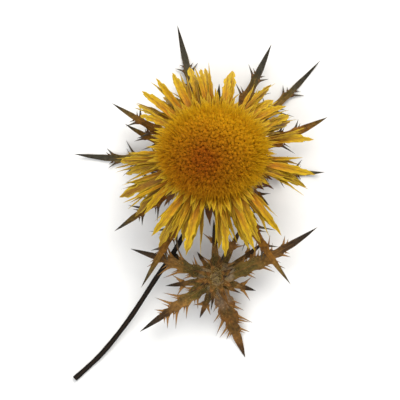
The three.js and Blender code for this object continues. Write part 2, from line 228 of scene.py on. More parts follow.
class Grower(Graph):
    """A Geometry Nodes tree with named inputs. It is run on a mesh and leaves a plain mesh."""

    def __init__(self, name: str) -> None:
        """Makes an empty tree.

        Args:
            name: The tree's name.
        """
        super().__init__(bpy.data.node_groups.new(name, "GeometryNodeTree"))
        self.tree.interface.new_socket("Geometry", in_out="OUTPUT", socket_type="NodeSocketGeometry")
        self.identifiers: dict[str, str] = {}
        self.entry = self.tree.nodes.new("NodeGroupInput")
        self.geometry = self.input("Geometry", "NodeSocketGeometry")
        self.material = self.input("Material", "NodeSocketMaterial")

    def input(self, name: str, kind: str = "NodeSocketFloat") -> NodeSocket:
        """Adds a named input.

        Args:
            name: The input's name.
            kind: Its socket's type.

        Returns:
            Its socket inside the tree.
        """
        item = self.tree.interface.new_socket(name, in_out="INPUT", socket_type=kind)
        self.identifiers[name] = item.identifier
        return next(s for s in self.entry.outputs if s.identifier == item.identifier)

    def attribute(self, name: str, kind: str = "FLOAT") -> NodeSocket:
        """Returns a named attribute of the geometry."""
        node = self.add("GeometryNodeInputNamedAttribute", {"Name": name}, data_type=kind)
        return self.socket(node.outputs, "Attribute")

    def store(self, geometry: NodeSocket, name: str, value: NodeSocket, domain: str = "POINT") -> NodeSocket:
        """Stores a number as a named attribute.

        Args:
            geometry: The geometry that keeps it.
            name: The attribute's name.
            value: The number.
            domain: What it is kept for: each point or each instance.

        Returns:
            The geometry.
        """
        slots = {"Geometry": geometry, "Name": name, "Value": value}
        node = self.add("GeometryNodeStoreNamedAttribute", slots, data_type="FLOAT", domain=domain)
        return node.outputs["Geometry"]

    def random(self, low: object, high: object, seed: int, kind: str = "FLOAT") -> NodeSocket:
        """Returns a seeded random number or vector, drawn for each element."""
        node = self.add("FunctionNodeRandomValue", {"Min": low, "Max": high, "Seed": seed}, data_type=kind)
        return self.socket(node.outputs, "Value")

    def moved(self, geometry: NodeSocket, position: NodeSocket) -> NodeSocket:
        """Moves each point of the geometry to a position, and returns the geometry."""
        slots = {"Geometry": geometry, "Position": position}
        return self.add("GeometryNodeSetPosition", slots).outputs["Geometry"]

    def realize(self, geometry: NodeSocket) -> NodeSocket:
        """Makes instances real and returns the geometry."""
        return self.add("GeometryNodeRealizeInstances", {"Geometry": geometry}).outputs["Geometry"]

    def end(self, geometry: NodeSocket) -> None:
        """Makes what is left real, gives it its material and sends it out of the tree.

        Args:
            geometry: What the tree has made.
        """
        slots = {"Geometry": self.realize(geometry), "Material": self.material}
        dressed = self.add("GeometryNodeSetMaterial", slots)
        out = self.tree.nodes.new("NodeGroupOutput")
        self.tree.links.new(dressed.outputs["Geometry"], out.inputs[0])

    def run(self, name: str, source: Mesh, values: dict[str, object], place: Placement) -> Object:
        """Runs the tree on a mesh.

        Args:
            name: The piece's name.
            source: The mesh that the tree starts from.
            values: The tree's inputs by name.
            place: Where the result stands.

        Returns:
            An object at the origin with a plain mesh.
        """
        piece = shown(name, source)
        modifier = piece.modifiers.new("grow", "NODES")
        modifier.node_group = self.tree
        for key, value in values.items():
            modifier[self.identifiers[key]] = value
        depsgraph = bpy.context.evaluated_depsgraph_get()
        grown = bpy.data.meshes.new_from_object(piece.evaluated_get(depsgraph), depsgraph=depsgraph)
        piece.modifiers.clear()
        piece.data = grown
        grown.name = name
        grown.transform(place.matrix())
        keep_on_surface(grown)
        grown.shade_smooth()
        return piece


# ---------------------------------------------------------------- meshes


def shown(name: str, data: object) -> Object:
    """Adds an object with its mesh, light or camera to the scene.

    Args:
        name: The object's name.
        data: What it holds.

    Returns:
        The object.
    """
    made = bpy.data.objects.new(name, data)
    bpy.context.scene.collection.objects.link(made)
    return made


def keep_numbers(mesh: Mesh, values: dict[str, Sequence]) -> None:
    """Stores numbers of each point.

    Args:
        mesh: The mesh.
        values: The points' numbers by attribute name.
    """
    for key, column in values.items():
        layer = mesh.attributes.new(key, "FLOAT", "POINT")
        layer.data.foreach_set("value", np.array(column, np.float32).ravel())


def keep_on_surface(mesh: Mesh) -> None:
    """Lifts what would go below the surface that the piece lies on, and presses it flat there.

    Args:
        mesh: The piece's mesh, in place.
    """
    points = np.empty(len(mesh.vertices) * 3, np.float32)
    mesh.vertices.foreach_get("co", points)
    heights = points[2::3]
    pressed = TOUCH + (heights - TOUCH) * PRESSED_FLAT
    points[2::3] = np.maximum(np.where(heights < TOUCH, pressed, heights), 0)
    mesh.vertices.foreach_set("co", points)
    mesh.update()


def point_cloud(name: str, points: Sequence[Vector], values: dict[str, Sequence]) -> Mesh:
    """Makes a mesh of loose points.

    Args:
        name: The mesh's name.
        points: The points.
        values: Attributes of the points by name: numbers or vectors.

    Returns:
        The mesh.
    """
    mesh = bpy.data.meshes.new(name)
    mesh.from_pydata([tuple(p) for p in points], [], [])
    for key, column in values.items():
        if isinstance(column[0], Vector):
            layer = mesh.attributes.new(key, "FLOAT_VECTOR", "POINT")
            layer.data.foreach_set("vector", np.array([tuple(v) for v in column], np.float32).ravel())
        else:
            keep_numbers(mesh, {key: column})
    return mesh


def closed_rings(name: str, rings: np.ndarray, values: dict[str, np.ndarray]) -> Mesh:
    """Makes a closed skin through rings of points.

    Args:
        name: The mesh's name.
        rings: Points, by ring and by place round the ring, anticlockwise about the way along.
        values: A number for each point by attribute name, in the same order.

    Returns:
        The mesh, with a cap at each end.
    """
    count, around = rings.shape[:2]
    quads = []
    for i in range(count - 1):
        for j in range(around):
            k = (j + 1) % around
            quads.append((i * around + j, i * around + k, (i + 1) * around + k, (i + 1) * around + j))
    last = (count - 1) * around
    caps = [tuple(range(around))[::-1], tuple(range(last, last + around))]
    mesh = bpy.data.meshes.new(name)
    mesh.from_pydata(rings.reshape(-1, 3).tolist(), [], quads + caps)
    keep_numbers(mesh, values)
    return mesh


def dressed(name: str, mesh: Mesh, place: Placement, skin: Material) -> Object:
    """Makes a piece of a mesh.

    Args:
        name: The piece's name.
        mesh: The mesh.
        place: Where it stands.
        skin: Its material.

    Returns:
        The piece.
    """
    mesh.transform(place.matrix())
    mesh.shade_smooth()
    mesh.materials.append(skin)
    return shown(name, mesh)


def turned_rings(profile: Sequence[tuple[float, float]], sides: int) -> np.ndarray:
    """Turns a profile about +Z.

    Args:
        profile: Its radius and height, from the foot up.
        sides: How many sides the result has.

    Returns:
        Its points, by ring and by place round the ring.
    """
    angles = np.arange(sides) * 2 * np.pi / sides
    circle = np.stack([np.cos(angles), np.sin(angles)], axis=1)
    return np.array([np.column_stack([circle * r, np.full(sides, z)]) for r, z in profile])


# How often the grain of a turned piece changes round it, and how far.
GRAIN_WAVES = 17
GRAIN_SWING = 0.8


def turned_piece(
    name: str, profile: Stations, sides: int, place: Placement, skin: Material, **values: float
) -> Object:
    """Makes a turned piece.

    Args:
        name: The piece's name.
        profile: Its radius and height, from the foot up.
        sides: How many sides it has.
        place: Where it stands.
        skin: Its material.
        values: Numbers that all of its points keep, by attribute name.

    Returns:
        The piece.
    """
    rings = turned_rings(profile, sides)
    columns = {key: np.full(rings.shape[:2], value) for key, value in values.items()}
    angles = np.arctan2(rings[:, :, 1], rings[:, :, 0])
    columns["across"] = np.sin(angles * GRAIN_WAVES) * GRAIN_SWING
    return dressed(name, closed_rings(name, rings, columns), place, skin)


class Patterns:
    """A set of meshes, in the scene until it is cleared, that a tree takes its copies from."""

    def __init__(self, name: str, meshes: Iterable[Mesh]) -> None:
        """Gathers the meshes.

        Args:
            name: The set's name.
            meshes: The meshes, in the order in which copies name them.
        """
        self.collection = bpy.data.collections.new(name)
        bpy.context.scene.collection.children.link(self.collection)
        for number, mesh in enumerate(meshes):
            self.collection.objects.link(bpy.data.objects.new(f"{name}_{number:03d}", mesh))

    def clear(self) -> None:
        """Removes the set from the scene."""
        for item in list(self.collection.objects):
            bpy.data.objects.remove(item)
        bpy.data.collections.remove(self.collection)


# ---------------------------------------------------------------- blades: rays, bracts and leaves


@dataclass(frozen=True)
class Blade:
    """A blade that grows outwards from an axis. Along its length, t goes from 0 at the root to 1 at the tip.

    Args:
        around: Its direction, in degrees anticlockwise from +X.
        root: The radius of its root.
        reach: The radius of its tip.
        height: The height of its root.
        width: Its full width.
        slope: Its height's change in step with t.
        bend: Its height's change in step with t squared.
        fold: How steeply its two halves rise from the middle line.
        swing: How far its tip is carried sideways.
        twist: How far its tip is turned about its length, in radians.
        kind: The number of the pattern it is bent from.
        tint: Its own share of colour, from 0 to 1.
    """

    around: float
    root: float
    reach: float
    height: float
    width: float
    slope: float = 0.0
    bend: float = 0.0
    fold: float = 0.0
    swing: float = 0.0
    twist: float = 0.0
    kind: int = 0
    tint: float = 0.5

    def centre(self, t: float) -> Vector:
        """Finds a point of the middle line.

        Args:
            t: Where it is along the blade.

        Returns:
            The point.
        """
        angle = math.radians(self.around)
        out = Vector((math.cos(angle), math.sin(angle), 0))
        across = Vector((-out.y, out.x, 0))
        point = out * (self.root + (self.reach - self.root) * t) + across * (self.swing * t * t)
        point.z = self.height + self.slope * t + self.bend * t * t
        return point

    def frame(self, t: float) -> tuple[Vector, Vector, Vector]:
        """Finds how the blade's face lies at a point of its middle line.

        Args:
            t: Where it is along the blade.

        Returns:
            The ways along the face, across it and up from it.
        """
        angle = math.radians(self.around)
        across = Vector((-math.sin(angle), math.cos(angle), 0))
        along = Vector((across.y, -across.x, 0)) * (self.reach - self.root) + across * (2 * self.swing * t)
        along.z = self.slope + 2 * self.bend * t
        along.normalize()
        side = (across - along * across.dot(along)).normalized()
        side.rotate(Matrix.Rotation(self.twist * t, 3, along))
        return along, side, along.cross(side)

    def resting(self, belly: float, thickness: float, place: Placement) -> "Blade":
        """Bends a level blade down until its belly presses on the surface.

        Args:
            belly: Where the belly is along the blade.
            thickness: The blade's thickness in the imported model.
            place: Where the blade's group stands.

        Returns:
            The blade.
        """
        over = place.local() @ self.centre(belly)
        drop = (over.z + PRESSED - thickness / 2) / math.cos(math.radians(place.tilt))
        return self.sagging(drop, belly)

    def sagging(self, drop: float, belly: float) -> "Blade":
        """Returns the blade bent down to a belly that lies lower than its root by drop."""
        return replace(self, slope=-2 * drop / belly, bend=drop / (belly * belly))


# An outline's corners are rounded over so many of its fine steps, up to where its point begins.
FINE_STEPS = 200
ROUNDED_OVER = 25
POINT_FROM = 0.93
# Half the length of a tooth at a leaf's edge, and the stretch of the edge, with its fade, that draws in.
TOOTH = 0.035
DRAWN_IN = (0.1, 0.74)
DRAWN_FADE = 0.1


@dataclass(frozen=True)
class Pattern:
    """The flat pattern a blade is bent from: x is t, y is in half widths, and z is in millimetres.

    Args:
        outline: The share of the full width along the blade.
        thickness: The thickness along the blade.
        roundness: From 0, flat, to 1, round in section, along the blade.
        rows: How many steps it has along its length.
        columns: How many it has across.
        cupping: How far its edges turn up.
        ribs: How many lengthwise ribs it has.
        rib_height: How high they stand.
        ripple: How uneven its face is.
        fray: How ragged its edges are towards the tip.
        notch: How deep its edges draw in between teeth.
        teeth: Where the teeth are along each edge, as t and side.
        seed: The number its own unevenness is drawn from.
    """

    outline: Stations
    thickness: Stations
    roundness: Stations = ((0, 0), (1, 0))
    rows: int = 18
    columns: int = 6
    cupping: float = 0.0
    ribs: int = 0
    rib_height: float = 0.0
    ripple: float = 0.0
    fray: float = 0.0
    notch: float = 0.0
    teeth: tuple[tuple[float, int], ...] = ()
    seed: int = 0

    def half(self, t: np.ndarray, side: int) -> np.ndarray:
        """Works out the outline of one side, with its frayed edge or its teeth.

        Args:
            t: Places along the blade.
            side: The side, 1 or -1.

        Returns:
            The share of the half width at each place.
        """
        at, share = np.array(self.outline).T
        width = np.interp(t, at, share)
        fine = np.linspace(0, 1, FINE_STEPS)
        kernel = np.hanning(ROUNDED_OVER)
        padded = np.pad(np.interp(fine, at, share), ROUNDED_OVER // 2, mode="edge")
        soft = np.convolve(padded, kernel / kernel.sum(), mode="valid")
        width = np.where(t < POINT_FROM, np.interp(t, fine, soft), width)
        phase = 6.3 * scatter(self.seed, 65 + side)
        ragged = np.sin(31 * t + phase) + 0.6 * np.sin(57 * t + 2 * phase)
        width = width * (1 + self.fray * 0.5 * ragged * np.clip((t - 0.4) * 2, 0, 1))
        if not self.notch:
            return width
        places = np.array([place for place, way in self.teeth if way == side])
        peak = np.exp(-(((t[:, None] - places[None, :]) / TOOTH) ** 2)).max(axis=1)
        start, end = DRAWN_IN
        inside = np.clip((t - start) / DRAWN_FADE, 0, 1) * np.clip((end - t) / DRAWN_FADE, 0, 1)
        return width * (1 - self.notch * (1 - peak) * inside)

    def mesh(self, name: str) -> Mesh:
        """Makes the pattern as a closed skin with the attributes along and across.

        Args:
            name: The mesh's name.

        Returns:
            The mesh.
        """
        t = np.linspace(0, 1, self.rows + 1) ** 0.92
        s = np.linspace(-1, 1, self.columns + 1)
        grid_t, grid_s = np.meshgrid(t, s, indexing="ij")
        half = np.where(grid_s > 0, self.half(t, 1)[:, None], self.half(t, -1)[:, None])
        y = grid_s * half
        draws = [scatter(self.seed * 7 + k, 60) * 2 * math.pi for k in range(4)]
        uneven = np.sin(9 * grid_t + 2.3 * grid_s + draws[0])
        uneven += 0.7 * np.sin(21 * grid_t - 3.1 * grid_s + draws[1])
        uneven += 0.8 * grid_s**2 * np.sin(26 * grid_t + 1.5 * np.sign(grid_s) + draws[2])
        fade = np.clip((1 - grid_t) * 6, 0, 1) * np.clip(grid_t * 5, 0, 1)
        face = self.ripple * uneven * fade + self.cupping * y**2
        if self.ribs:
            face = face + self.rib_height * np.cos(grid_s * math.pi * self.ribs) * fade
        thick = np.interp(grid_t, *np.array(self.thickness).T)
        round_share = np.interp(grid_t, *np.array(self.roundness).T)
        body = thick / 2 * (1 - round_share + round_share * np.sqrt(np.clip(1 - grid_s**2, 0.04, 1)))
        top = np.stack([grid_t, y, face + body], axis=2)
        bottom = np.stack([grid_t, y, face - body], axis=2)
        rings = np.concatenate([bottom, top[:, ::-1]], axis=1)
        both = {
            "along": np.concatenate([grid_t, grid_t], axis=1),
            "across": np.concatenate([grid_s, grid_s[:, ::-1]], axis=1),
        }
        return closed_rings(name, rings, both)


class BladeBender(Grower):
    """The tree that bends flat patterns into blades, one for each point it is given."""

    def __init__(self) -> None:
        """Builds the tree."""
        super().__init__("bend_blades")
        collection = self.input("Patterns", "NodeSocketCollection")
        info = self.add(
            "GeometryNodeCollectionInfo",
            {"Collection": collection, "Separate Children": True, "Reset Children": True},
        )
        index = self.math("ROUND", self.attribute("kind"))
        copies = self.add(
            "GeometryNodeInstanceOnPoints",
            {
                "Points": self.geometry,
                "Instance": info.outputs["Instances"],
                "Pick Instance": True,
                "Instance Index": index,
            },
        )
        blades = self.realize(copies.outputs["Instances"])
        self.end(self.moved(blades, self.bent()))

    def bent(self) -> NodeSocket:
        """Bends the flat patterns.

        Returns:
            Each point's place on its bent blade.
        """
        position = self.add("GeometryNodeInputPosition").outputs[0]
        flat = self.add("ShaderNodeSeparateXYZ", {0: position}).outputs
        t, y, z = flat[0], flat[1], flat[2]
        squared = self.math("MULTIPLY", t, t)
        angle = self.math("RADIANS", self.attribute("around"))
        cosine, sine = self.math("COSINE", angle), self.math("SINE", angle)
        out = self.combine(cosine, sine, 0.0)
        across = self.combine(self.math("MULTIPLY", sine, -1.0), cosine, 0.0)
        root, reach = self.attribute("root"), self.attribute("reach")
        slope, bend, swing = self.attribute("slope"), self.attribute("bend"), self.attribute("swing")
        run = self.math("SUBTRACT", reach, root)
        climbed = self.math("MULTIPLY_ADD", slope, t, self.attribute("height"))
        rise = self.math("MULTIPLY_ADD", bend, squared, climbed)
        centre = self.vector("SCALE", out, self.math("MULTIPLY_ADD", run, t, root))
        swung = self.vector("SCALE", across, self.math("MULTIPLY", swing, squared))
        centre = self.vector("ADD", centre, swung)
        centre = self.vector("ADD", centre, self.combine(0.0, 0.0, rise))
        twice = self.math("MULTIPLY", t, 2.0)
        climb = self.math("MULTIPLY_ADD", bend, twice, slope)
        along = self.vector("ADD", self.vector("SCALE", out, run), self.combine(0.0, 0.0, climb))
        along = self.vector("ADD", along, self.vector("SCALE", across, self.math("MULTIPLY", swing, twice)))
        along = self.vector("NORMALIZE", along)
        lean = self.vector("SCALE", along, self.vector("DOT_PRODUCT", across, along))
        side = self.vector("NORMALIZE", self.vector("SUBTRACT", across, lean))
        turn = self.math("MULTIPLY", self.attribute("twist"), t)
        slots = {"Vector": side, "Axis": along, "Angle": turn}
        side = self.add("ShaderNodeVectorRotate", slots, rotation_type="AXIS_ANGLE").outputs[0]
        up = self.vector("CROSS_PRODUCT", along, side)
        sideways = self.math("MULTIPLY", y, self.math("MULTIPLY", self.attribute("width"), 0.5))
        folded = self.math("MULTIPLY_ADD", self.math("ABSOLUTE", sideways), self.attribute("fold"), z)
        point = self.vector("ADD", centre, self.vector("SCALE", side, sideways))
        return self.vector("ADD", point, self.vector("SCALE", up, folded))

    def blades(
        self,
        name: str,
        blades: Sequence[Blade],
        patterns: Sequence[Pattern],
        finish: Material,
        place: Placement,
    ) -> Object:
        """Bends a set of blades.

        Args:
            name: The piece's name.
            blades: The blades.
            patterns: The patterns they are bent from, by the number each blade gives.
            finish: Their material.
            place: Where they stand.

        Returns:
            One object with all the blades.
        """
        columns = {key: [float(getattr(blade, key)) for blade in blades] for key in vars(blades[0])}
        cloud = point_cloud(name, [Vector()] * len(blades), columns)
        shapes = Patterns(f"{name}_pattern", [p.mesh(f"{name}_{n}") for n, p in enumerate(patterns)])
        piece = self.run(name, cloud, {"Patterns": shapes.collection, "Material": finish}, place)
        shapes.clear()
        return piece


@dataclass(frozen=True)
class Needle:
    """A thorn or a hair.

    Args:
        foot: Where its foot is.
        way: Which way it points.
        face: Which way its flat face looks.
        length: Its length.
        breadth: The breadth of its foot.
    """

    foot: Vector
    way: Vector
    face: Vector
    length: float
    breadth: float


class NeedleSetter(Grower):
    """The tree that sets a needle, such as a thorn, at each point, along a way and flat to a face."""

    def __init__(self) -> None:
        """Builds the tree."""
        super().__init__("set_needles")
        needle = self.input("Needle", "NodeSocketObject")
        info = self.add("GeometryNodeObjectInfo", {"Object": needle, "As Instance": True})
        ways = {
            "Primary Axis": self.attribute("way", "FLOAT_VECTOR"),
            "Secondary Axis": self.attribute("face", "FLOAT_VECTOR"),
        }
        turn = self.add("FunctionNodeAxesToRotation", ways, primary_axis="Z", secondary_axis="Y")
        breadth, length = self.attribute("breadth"), self.attribute("length")
        slots = {
            "Points": self.geometry,
            "Instance": info.outputs["Geometry"],
            "Rotation": turn.outputs[0],
            "Scale": self.combine(breadth, breadth, length),
        }
        self.end(self.add("GeometryNodeInstanceOnPoints", slots).outputs["Instances"])

    def needles(
        self, name: str, needles: Sequence[Needle], shape: Mesh, finish: Material, place: Placement
    ) -> Object:
        """Sets needles.

        Args:
            name: The piece's name.
            needles: The needles.
            shape: The mesh of one, one unit long and one wide.
            finish: Their material.
            place: Where they stand.

        Returns:
            One object with all the needles.
        """
        keys = ("way", "face", "length", "breadth")
        columns = {key: [getattr(needle, key) for needle in needles] for key in keys}
        cloud = point_cloud(name, [needle.foot for needle in needles], columns)
        pattern = shown(f"{name}_shape", shape)
        piece = self.run(name, cloud, {"Needle": pattern, "Material": finish}, place)
        bpy.data.objects.remove(pattern)
        return piece


class DomePlanter(Grower):
    """The tree that plants copies of a shape all over a dome, in the spiral that florets grow in."""

    def __init__(self) -> None:
        """Builds the tree."""
        super().__init__("plant_dome")
        count = self.input("Count", "NodeSocketInt")
        low, high = self.input("Lowest"), self.input("Highest")
        size, eye = self.input("Size", "NodeSocketVector"), self.input("Eye", "NodeSocketVector")
        phase, lean, sunk = self.input("Phase"), self.input("Lean"), self.input("Sunk")
        length, spread = self.input("Length"), self.input("Spread")
        girth, shape = self.input("Girth"), self.input("Shape", "NodeSocketObject")
        points = self.add("GeometryNodePoints", {"Count": count}).outputs[0]
        index = self.add("GeometryNodeInputIndex").outputs[0]
        share = self.math("DIVIDE", self.math("ADD", index, 0.5), count)
        sine = self.math("SUBTRACT", high, self.math("MULTIPLY", share, self.math("SUBTRACT", high, low)))
        cosine = self.math("SQRT", self.math("SUBTRACT", 1.0, self.math("MULTIPLY", sine, sine)))
        azimuth = self.math("MULTIPLY_ADD", index, GOLDEN_ANGLE, phase)
        flat = self.combine(self.math("COSINE", azimuth), self.math("SINE", azimuth), 0.0)
        unit = self.vector("ADD", self.vector("SCALE", flat, cosine), self.combine(0.0, 0.0, sine))
        point = self.vector("MULTIPLY", unit, size)
        normal = self.vector("NORMALIZE", self.vector("DIVIDE", unit, size))
        stray = self.random((-1.0, -1.0, -1.0), (1.0, 1.0, 1.0), 3, "FLOAT_VECTOR")
        way = self.vector("NORMALIZE", self.vector("ADD", normal, self.vector("SCALE", stray, lean)))
        foot = self.vector("SUBTRACT", point, self.vector("SCALE", normal, sunk))
        seated = self.moved(points, foot)
        aim = self.add("FunctionNodeAlignRotationToVector", {"Vector": way}, axis="Z").outputs[0]
        slots = {"Axis": (0.0, 0.0, 1.0), "Angle": self.random(0.0, 6.283, 4)}
        spin = self.add("FunctionNodeAxisAngleToRotation", slots).outputs[0]
        turn = self.add("FunctionNodeRotateRotation", {0: aim, 1: spin}, rotation_space="LOCAL").outputs[0]
        tall = self.math("MULTIPLY_ADD", self.random(-1.0, 1.0, 5), spread, length)
        wide = self.math("MULTIPLY", girth, self.random(0.8, 1.2, 6))
        info = self.add("GeometryNodeObjectInfo", {"Object": shape, "As Instance": True})
        slots = {
            "Points": seated,
            "Instance": info.outputs["Geometry"],
            "Rotation": turn,
            "Scale": self.combine(wide, wide, tall),
        }
        planted = self.add("GeometryNodeInstanceOnPoints", slots).outputs["Instances"]
        planted = self.store(planted, "tint", self.random(0.0, 1.0, 7), "INSTANCE")
        # The rim share is measured from the eye, which is set off the middle so that the brown falls to the
        # lower left as painted shade.
        level = self.vector("DIVIDE", self.vector("MULTIPLY", foot, (1, 1, 0)), size)
        off = self.vector("SUBTRACT", level, eye)
        planted = self.store(planted, "rim", self.vector("LENGTH", off), "INSTANCE")
        self.end(planted)


STALK_SIDES = 40


class StemDrawer(Grower):
    """The tree that draws a ribbed stalk along a line of points."""

    def __init__(self) -> None:
        """Builds the tree."""
        super().__init__("draw_stalk")
        ribs, depth = self.input("Ribs"), self.input("Rib depth")
        line = self.add("GeometryNodeMeshToCurve", {"Mesh": self.geometry}).outputs[0]
        slots = {"Resolution": STALK_SIDES, "Radius": 1.0}
        circle = self.add("GeometryNodeCurvePrimitiveCircle", slots).outputs[0]
        position = self.add("GeometryNodeInputPosition").outputs[0]
        flat = self.add("ShaderNodeSeparateXYZ", {0: position}).outputs
        angle = self.math("ARCTAN2", flat[1], flat[0])
        swell = self.math("COSINE", self.math("MULTIPLY", angle, ribs))
        size = self.math("MULTIPLY_ADD", swell, depth, 1.0)
        ribbed = self.vector("SCALE", position, size)
        profile = self.store(self.moved(circle, ribbed), "groove", swell)
        thickness = self.attribute("thickness")
        slots = {"Curve": line, "Profile Curve": profile, "Scale": thickness, "Fill Caps": True}
        self.end(self.add("GeometryNodeCurveToMesh", slots).outputs[0])


# ---------------------------------------------------------------- finishes


class Dye(Enum):
    """The colours of the dried plant, as screen colours."""

    CHESTNUT = (112, 52, 4)
    RUSSET = (148, 72, 2)
    BRONZE = (172, 93, 2)
    AMBER = (204, 130, 1)
    GOLD = (208, 154, 1)
    STRAW = (218, 174, 10)
    # Also the colour of the painted highlights on the golden bracts.
    LEMON = (240, 206, 34)
    CREAM = (244, 222, 150)
    OCHRE = (136, 88, 12)
    OLIVE = (96, 80, 30)
    TAN = (140, 100, 46)
    UMBER = (70, 46, 18)
    RUST = (114, 66, 22)
    BARK = (112, 74, 20)
    SLATE = (66, 62, 48)
    SOOT = (46, 40, 32)
    PITCH = (17, 12, 9)
    ASH = (158, 138, 108)


Stops = tuple[tuple[float, Dye], ...]

# How deep the fine relief of every finish is, in metres.
RELIEF = 0.0002


@dataclass(frozen=True)
class Finish:
    """A surface of the dried plant.

    Args:
        name: The material's name.
        roughness: How dull it is.
        specular: How strongly it reflects.
    """

    name: str
    roughness: float = 0.6
    specular: float = 0.5

    def material(self) -> Material:
        """Makes the material.

        Returns:
            The material.
        """
        made = bpy.data.materials.new(self.name)
        made.use_nodes = True
        graph = Graph(made.node_tree)
        shader = made.node_tree.nodes["Principled BSDF"]
        shader.inputs["Roughness"].default_value = self.roughness
        shader.inputs["Specular IOR Level"].default_value = self.specular
        colour, relief, strength = self.surface(graph)
        graph.feed(shader.inputs["Base Color"], colour)
        bump = graph.add("ShaderNodeBump", {"Height": relief, "Strength": strength, "Distance": RELIEF})
        graph.feed(shader.inputs["Normal"], bump.outputs[0])
        return made

    def surface(self, graph: Graph) -> Look:
        """Works out the look of each point.

        Args:
            graph: The material's nodes.

        Returns:
            The colour, the relief and its strength.
        """
        raise NotImplementedError

    @staticmethod
    def attribute(graph: Graph, name: str) -> NodeSocket:
        """Returns a number kept in the mesh."""
        return graph.add("ShaderNodeAttribute", attribute_name=name).outputs["Fac"]

    @staticmethod
    def ramp(graph: Graph, value: NodeSocket, stops: Stops) -> NodeSocket:
        """Makes a colour that changes along a value.

        Args:
            graph: The material's nodes.
            value: The value.
            stops: The colours, each with the value that it stands at.

        Returns:
            The colour.
        """
        node = graph.add("ShaderNodeValToRGB", {0: value})
        elements = node.color_ramp.elements
        while len(elements) < len(stops):
            elements.new(0.5)
        for element, (at, dye) in zip(elements, stops):
            element.position = at
            element.color = linear(dye.value)
        return node.outputs["Color"]

    @staticmethod
    def mix(graph: Graph, share: object, first: object, second: object, way: str = "MIX") -> NodeSocket:
        """Mixes two colours.

        Args:
            graph: The material's nodes.
            share: The second colour's share.
            first: The first colour.
            second: The second colour.
            way: How they are mixed.

        Returns:
            The mix.
        """
        slots = {"Factor": share, "A": first, "B": second}
        node = graph.add("ShaderNodeMix", slots, data_type="RGBA", blend_type=way)
        return Graph.socket(node.outputs, "Result")

    @staticmethod
    def noise(graph: Graph, place: NodeSocket, scale: float, detail: float = 3.0) -> NodeSocket:
        """Returns a cloudy number from 0 to 1."""
        return graph.add("ShaderNodeTexNoise", {"Vector": place, "Scale": scale, "Detail": detail}).outputs[0]

    @staticmethod
    def place(graph: Graph) -> NodeSocket:
        """Returns the point's own place."""
        return graph.add("ShaderNodeTexCoord").outputs["Object"]

    @staticmethod
    def shaded(graph: Graph, share: NodeSocket, colour: NodeSocket) -> NodeSocket:
        """Returns a colour made darker or lighter by a share."""
        return Finish.mix(graph, 1.0, colour, graph.combine(share, share, share), "MULTIPLY")

    @staticmethod
    def stretch(
        graph: Graph, value: NodeSocket, low: float, high: float, to_low: float, to_high: float
    ) -> NodeSocket:
        """Returns a value carried from one range to another."""
        slots = {"Value": value, "From Min": low, "From Max": high, "To Min": to_low, "To Max": to_high}
        return graph.add("ShaderNodeMapRange", slots).outputs[0]


@dataclass(frozen=True)
class PaperyFinish(Finish):
    """Thin golden chaff with fine lengthwise fibres, painted highlights along its edges towards the tip, and
    painted shade on its darker blades.

    Args:
        stops: The colours from the root to the tip.
        shade: The colour of the darker blades and of each blade's darker middle line. The lower layer and
            many slivers are darkened this way as painted shade between the rays.
        fibres_and_painted_highlight: The colour of the lighter fibres and of the painted highlights along the
            edges, which grow stronger towards the tip.
    """

    stops: Stops = ((0.1, Dye.BRONZE), (0.36, Dye.AMBER), (0.62, Dye.GOLD), (0.88, Dye.STRAW))
    shade: Dye = Dye.OCHRE
    fibres_and_painted_highlight: Dye = Dye.LEMON

    def surface(self, graph: Graph) -> Look:
        """Works out the look of each point.

        Args:
            graph: The material's nodes.

        Returns:
            The colour, the relief and its strength.
        """
        along, across = self.attribute(graph, "along"), self.attribute(graph, "across")
        tint = self.attribute(graph, "tint")
        own = graph.math("MULTIPLY", tint, 60.0)
        cloud_place = graph.combine(graph.math("MULTIPLY", along, 2.5), own, across)
        fibres = self.noise(graph, cloud_place, 6.0, 4.0)
        slim = graph.math("MULTIPLY", across, 9.0)
        streak_place = graph.combine(graph.math("MULTIPLY", along, 1.3), slim, own)
        streaks = self.noise(graph, streak_place, 1.6, 3.0)
        colour = self.ramp(graph, along, self.stops)
        # Blades of low tint go towards the shade colour. This is partly their own random tone and partly
        # painted shade, since the lower layer and the slivers get low tints to darken the gaps between the
        # rays.
        dark = self.stretch(graph, tint, 0.1, 0.5, 1.0, 0.0)
        colour = self.mix(graph, dark, colour, linear(self.shade.value))
        off = graph.math("ABSOLUTE", across)
        middle = self.stretch(graph, off, 0.05, 0.4, 0.5, 0.0)
        colour = self.mix(graph, middle, colour, linear(self.shade.value))
        # Painted highlight: the edges and the lighter fibres go towards the gleam colour, more strongly
        # towards the tip, as if light caught them and shone through.
        edge = self.stretch(graph, off, 0.5, 0.95, 0.0, 0.8)
        fibres_and_painted_highlight = graph.math("MAXIMUM", self.stretch(graph, streaks, 0.5, 0.72, 0.0, 0.7), edge)
        outwards = self.stretch(graph, along, 0.2, 0.8, 0.1, 1.0)
        fibres_and_painted_highlight = graph.math("MULTIPLY", fibres_and_painted_highlight, outwards)
        colour = self.mix(graph, fibres_and_painted_highlight, colour, linear(self.fibres_and_painted_highlight.value))
        mottle = self.stretch(graph, fibres, 0.3, 0.7, 0.5, 1.08)
        colour = self.shaded(graph, mottle, colour)
        return colour, graph.math("ADD", streaks, fibres), 0.5


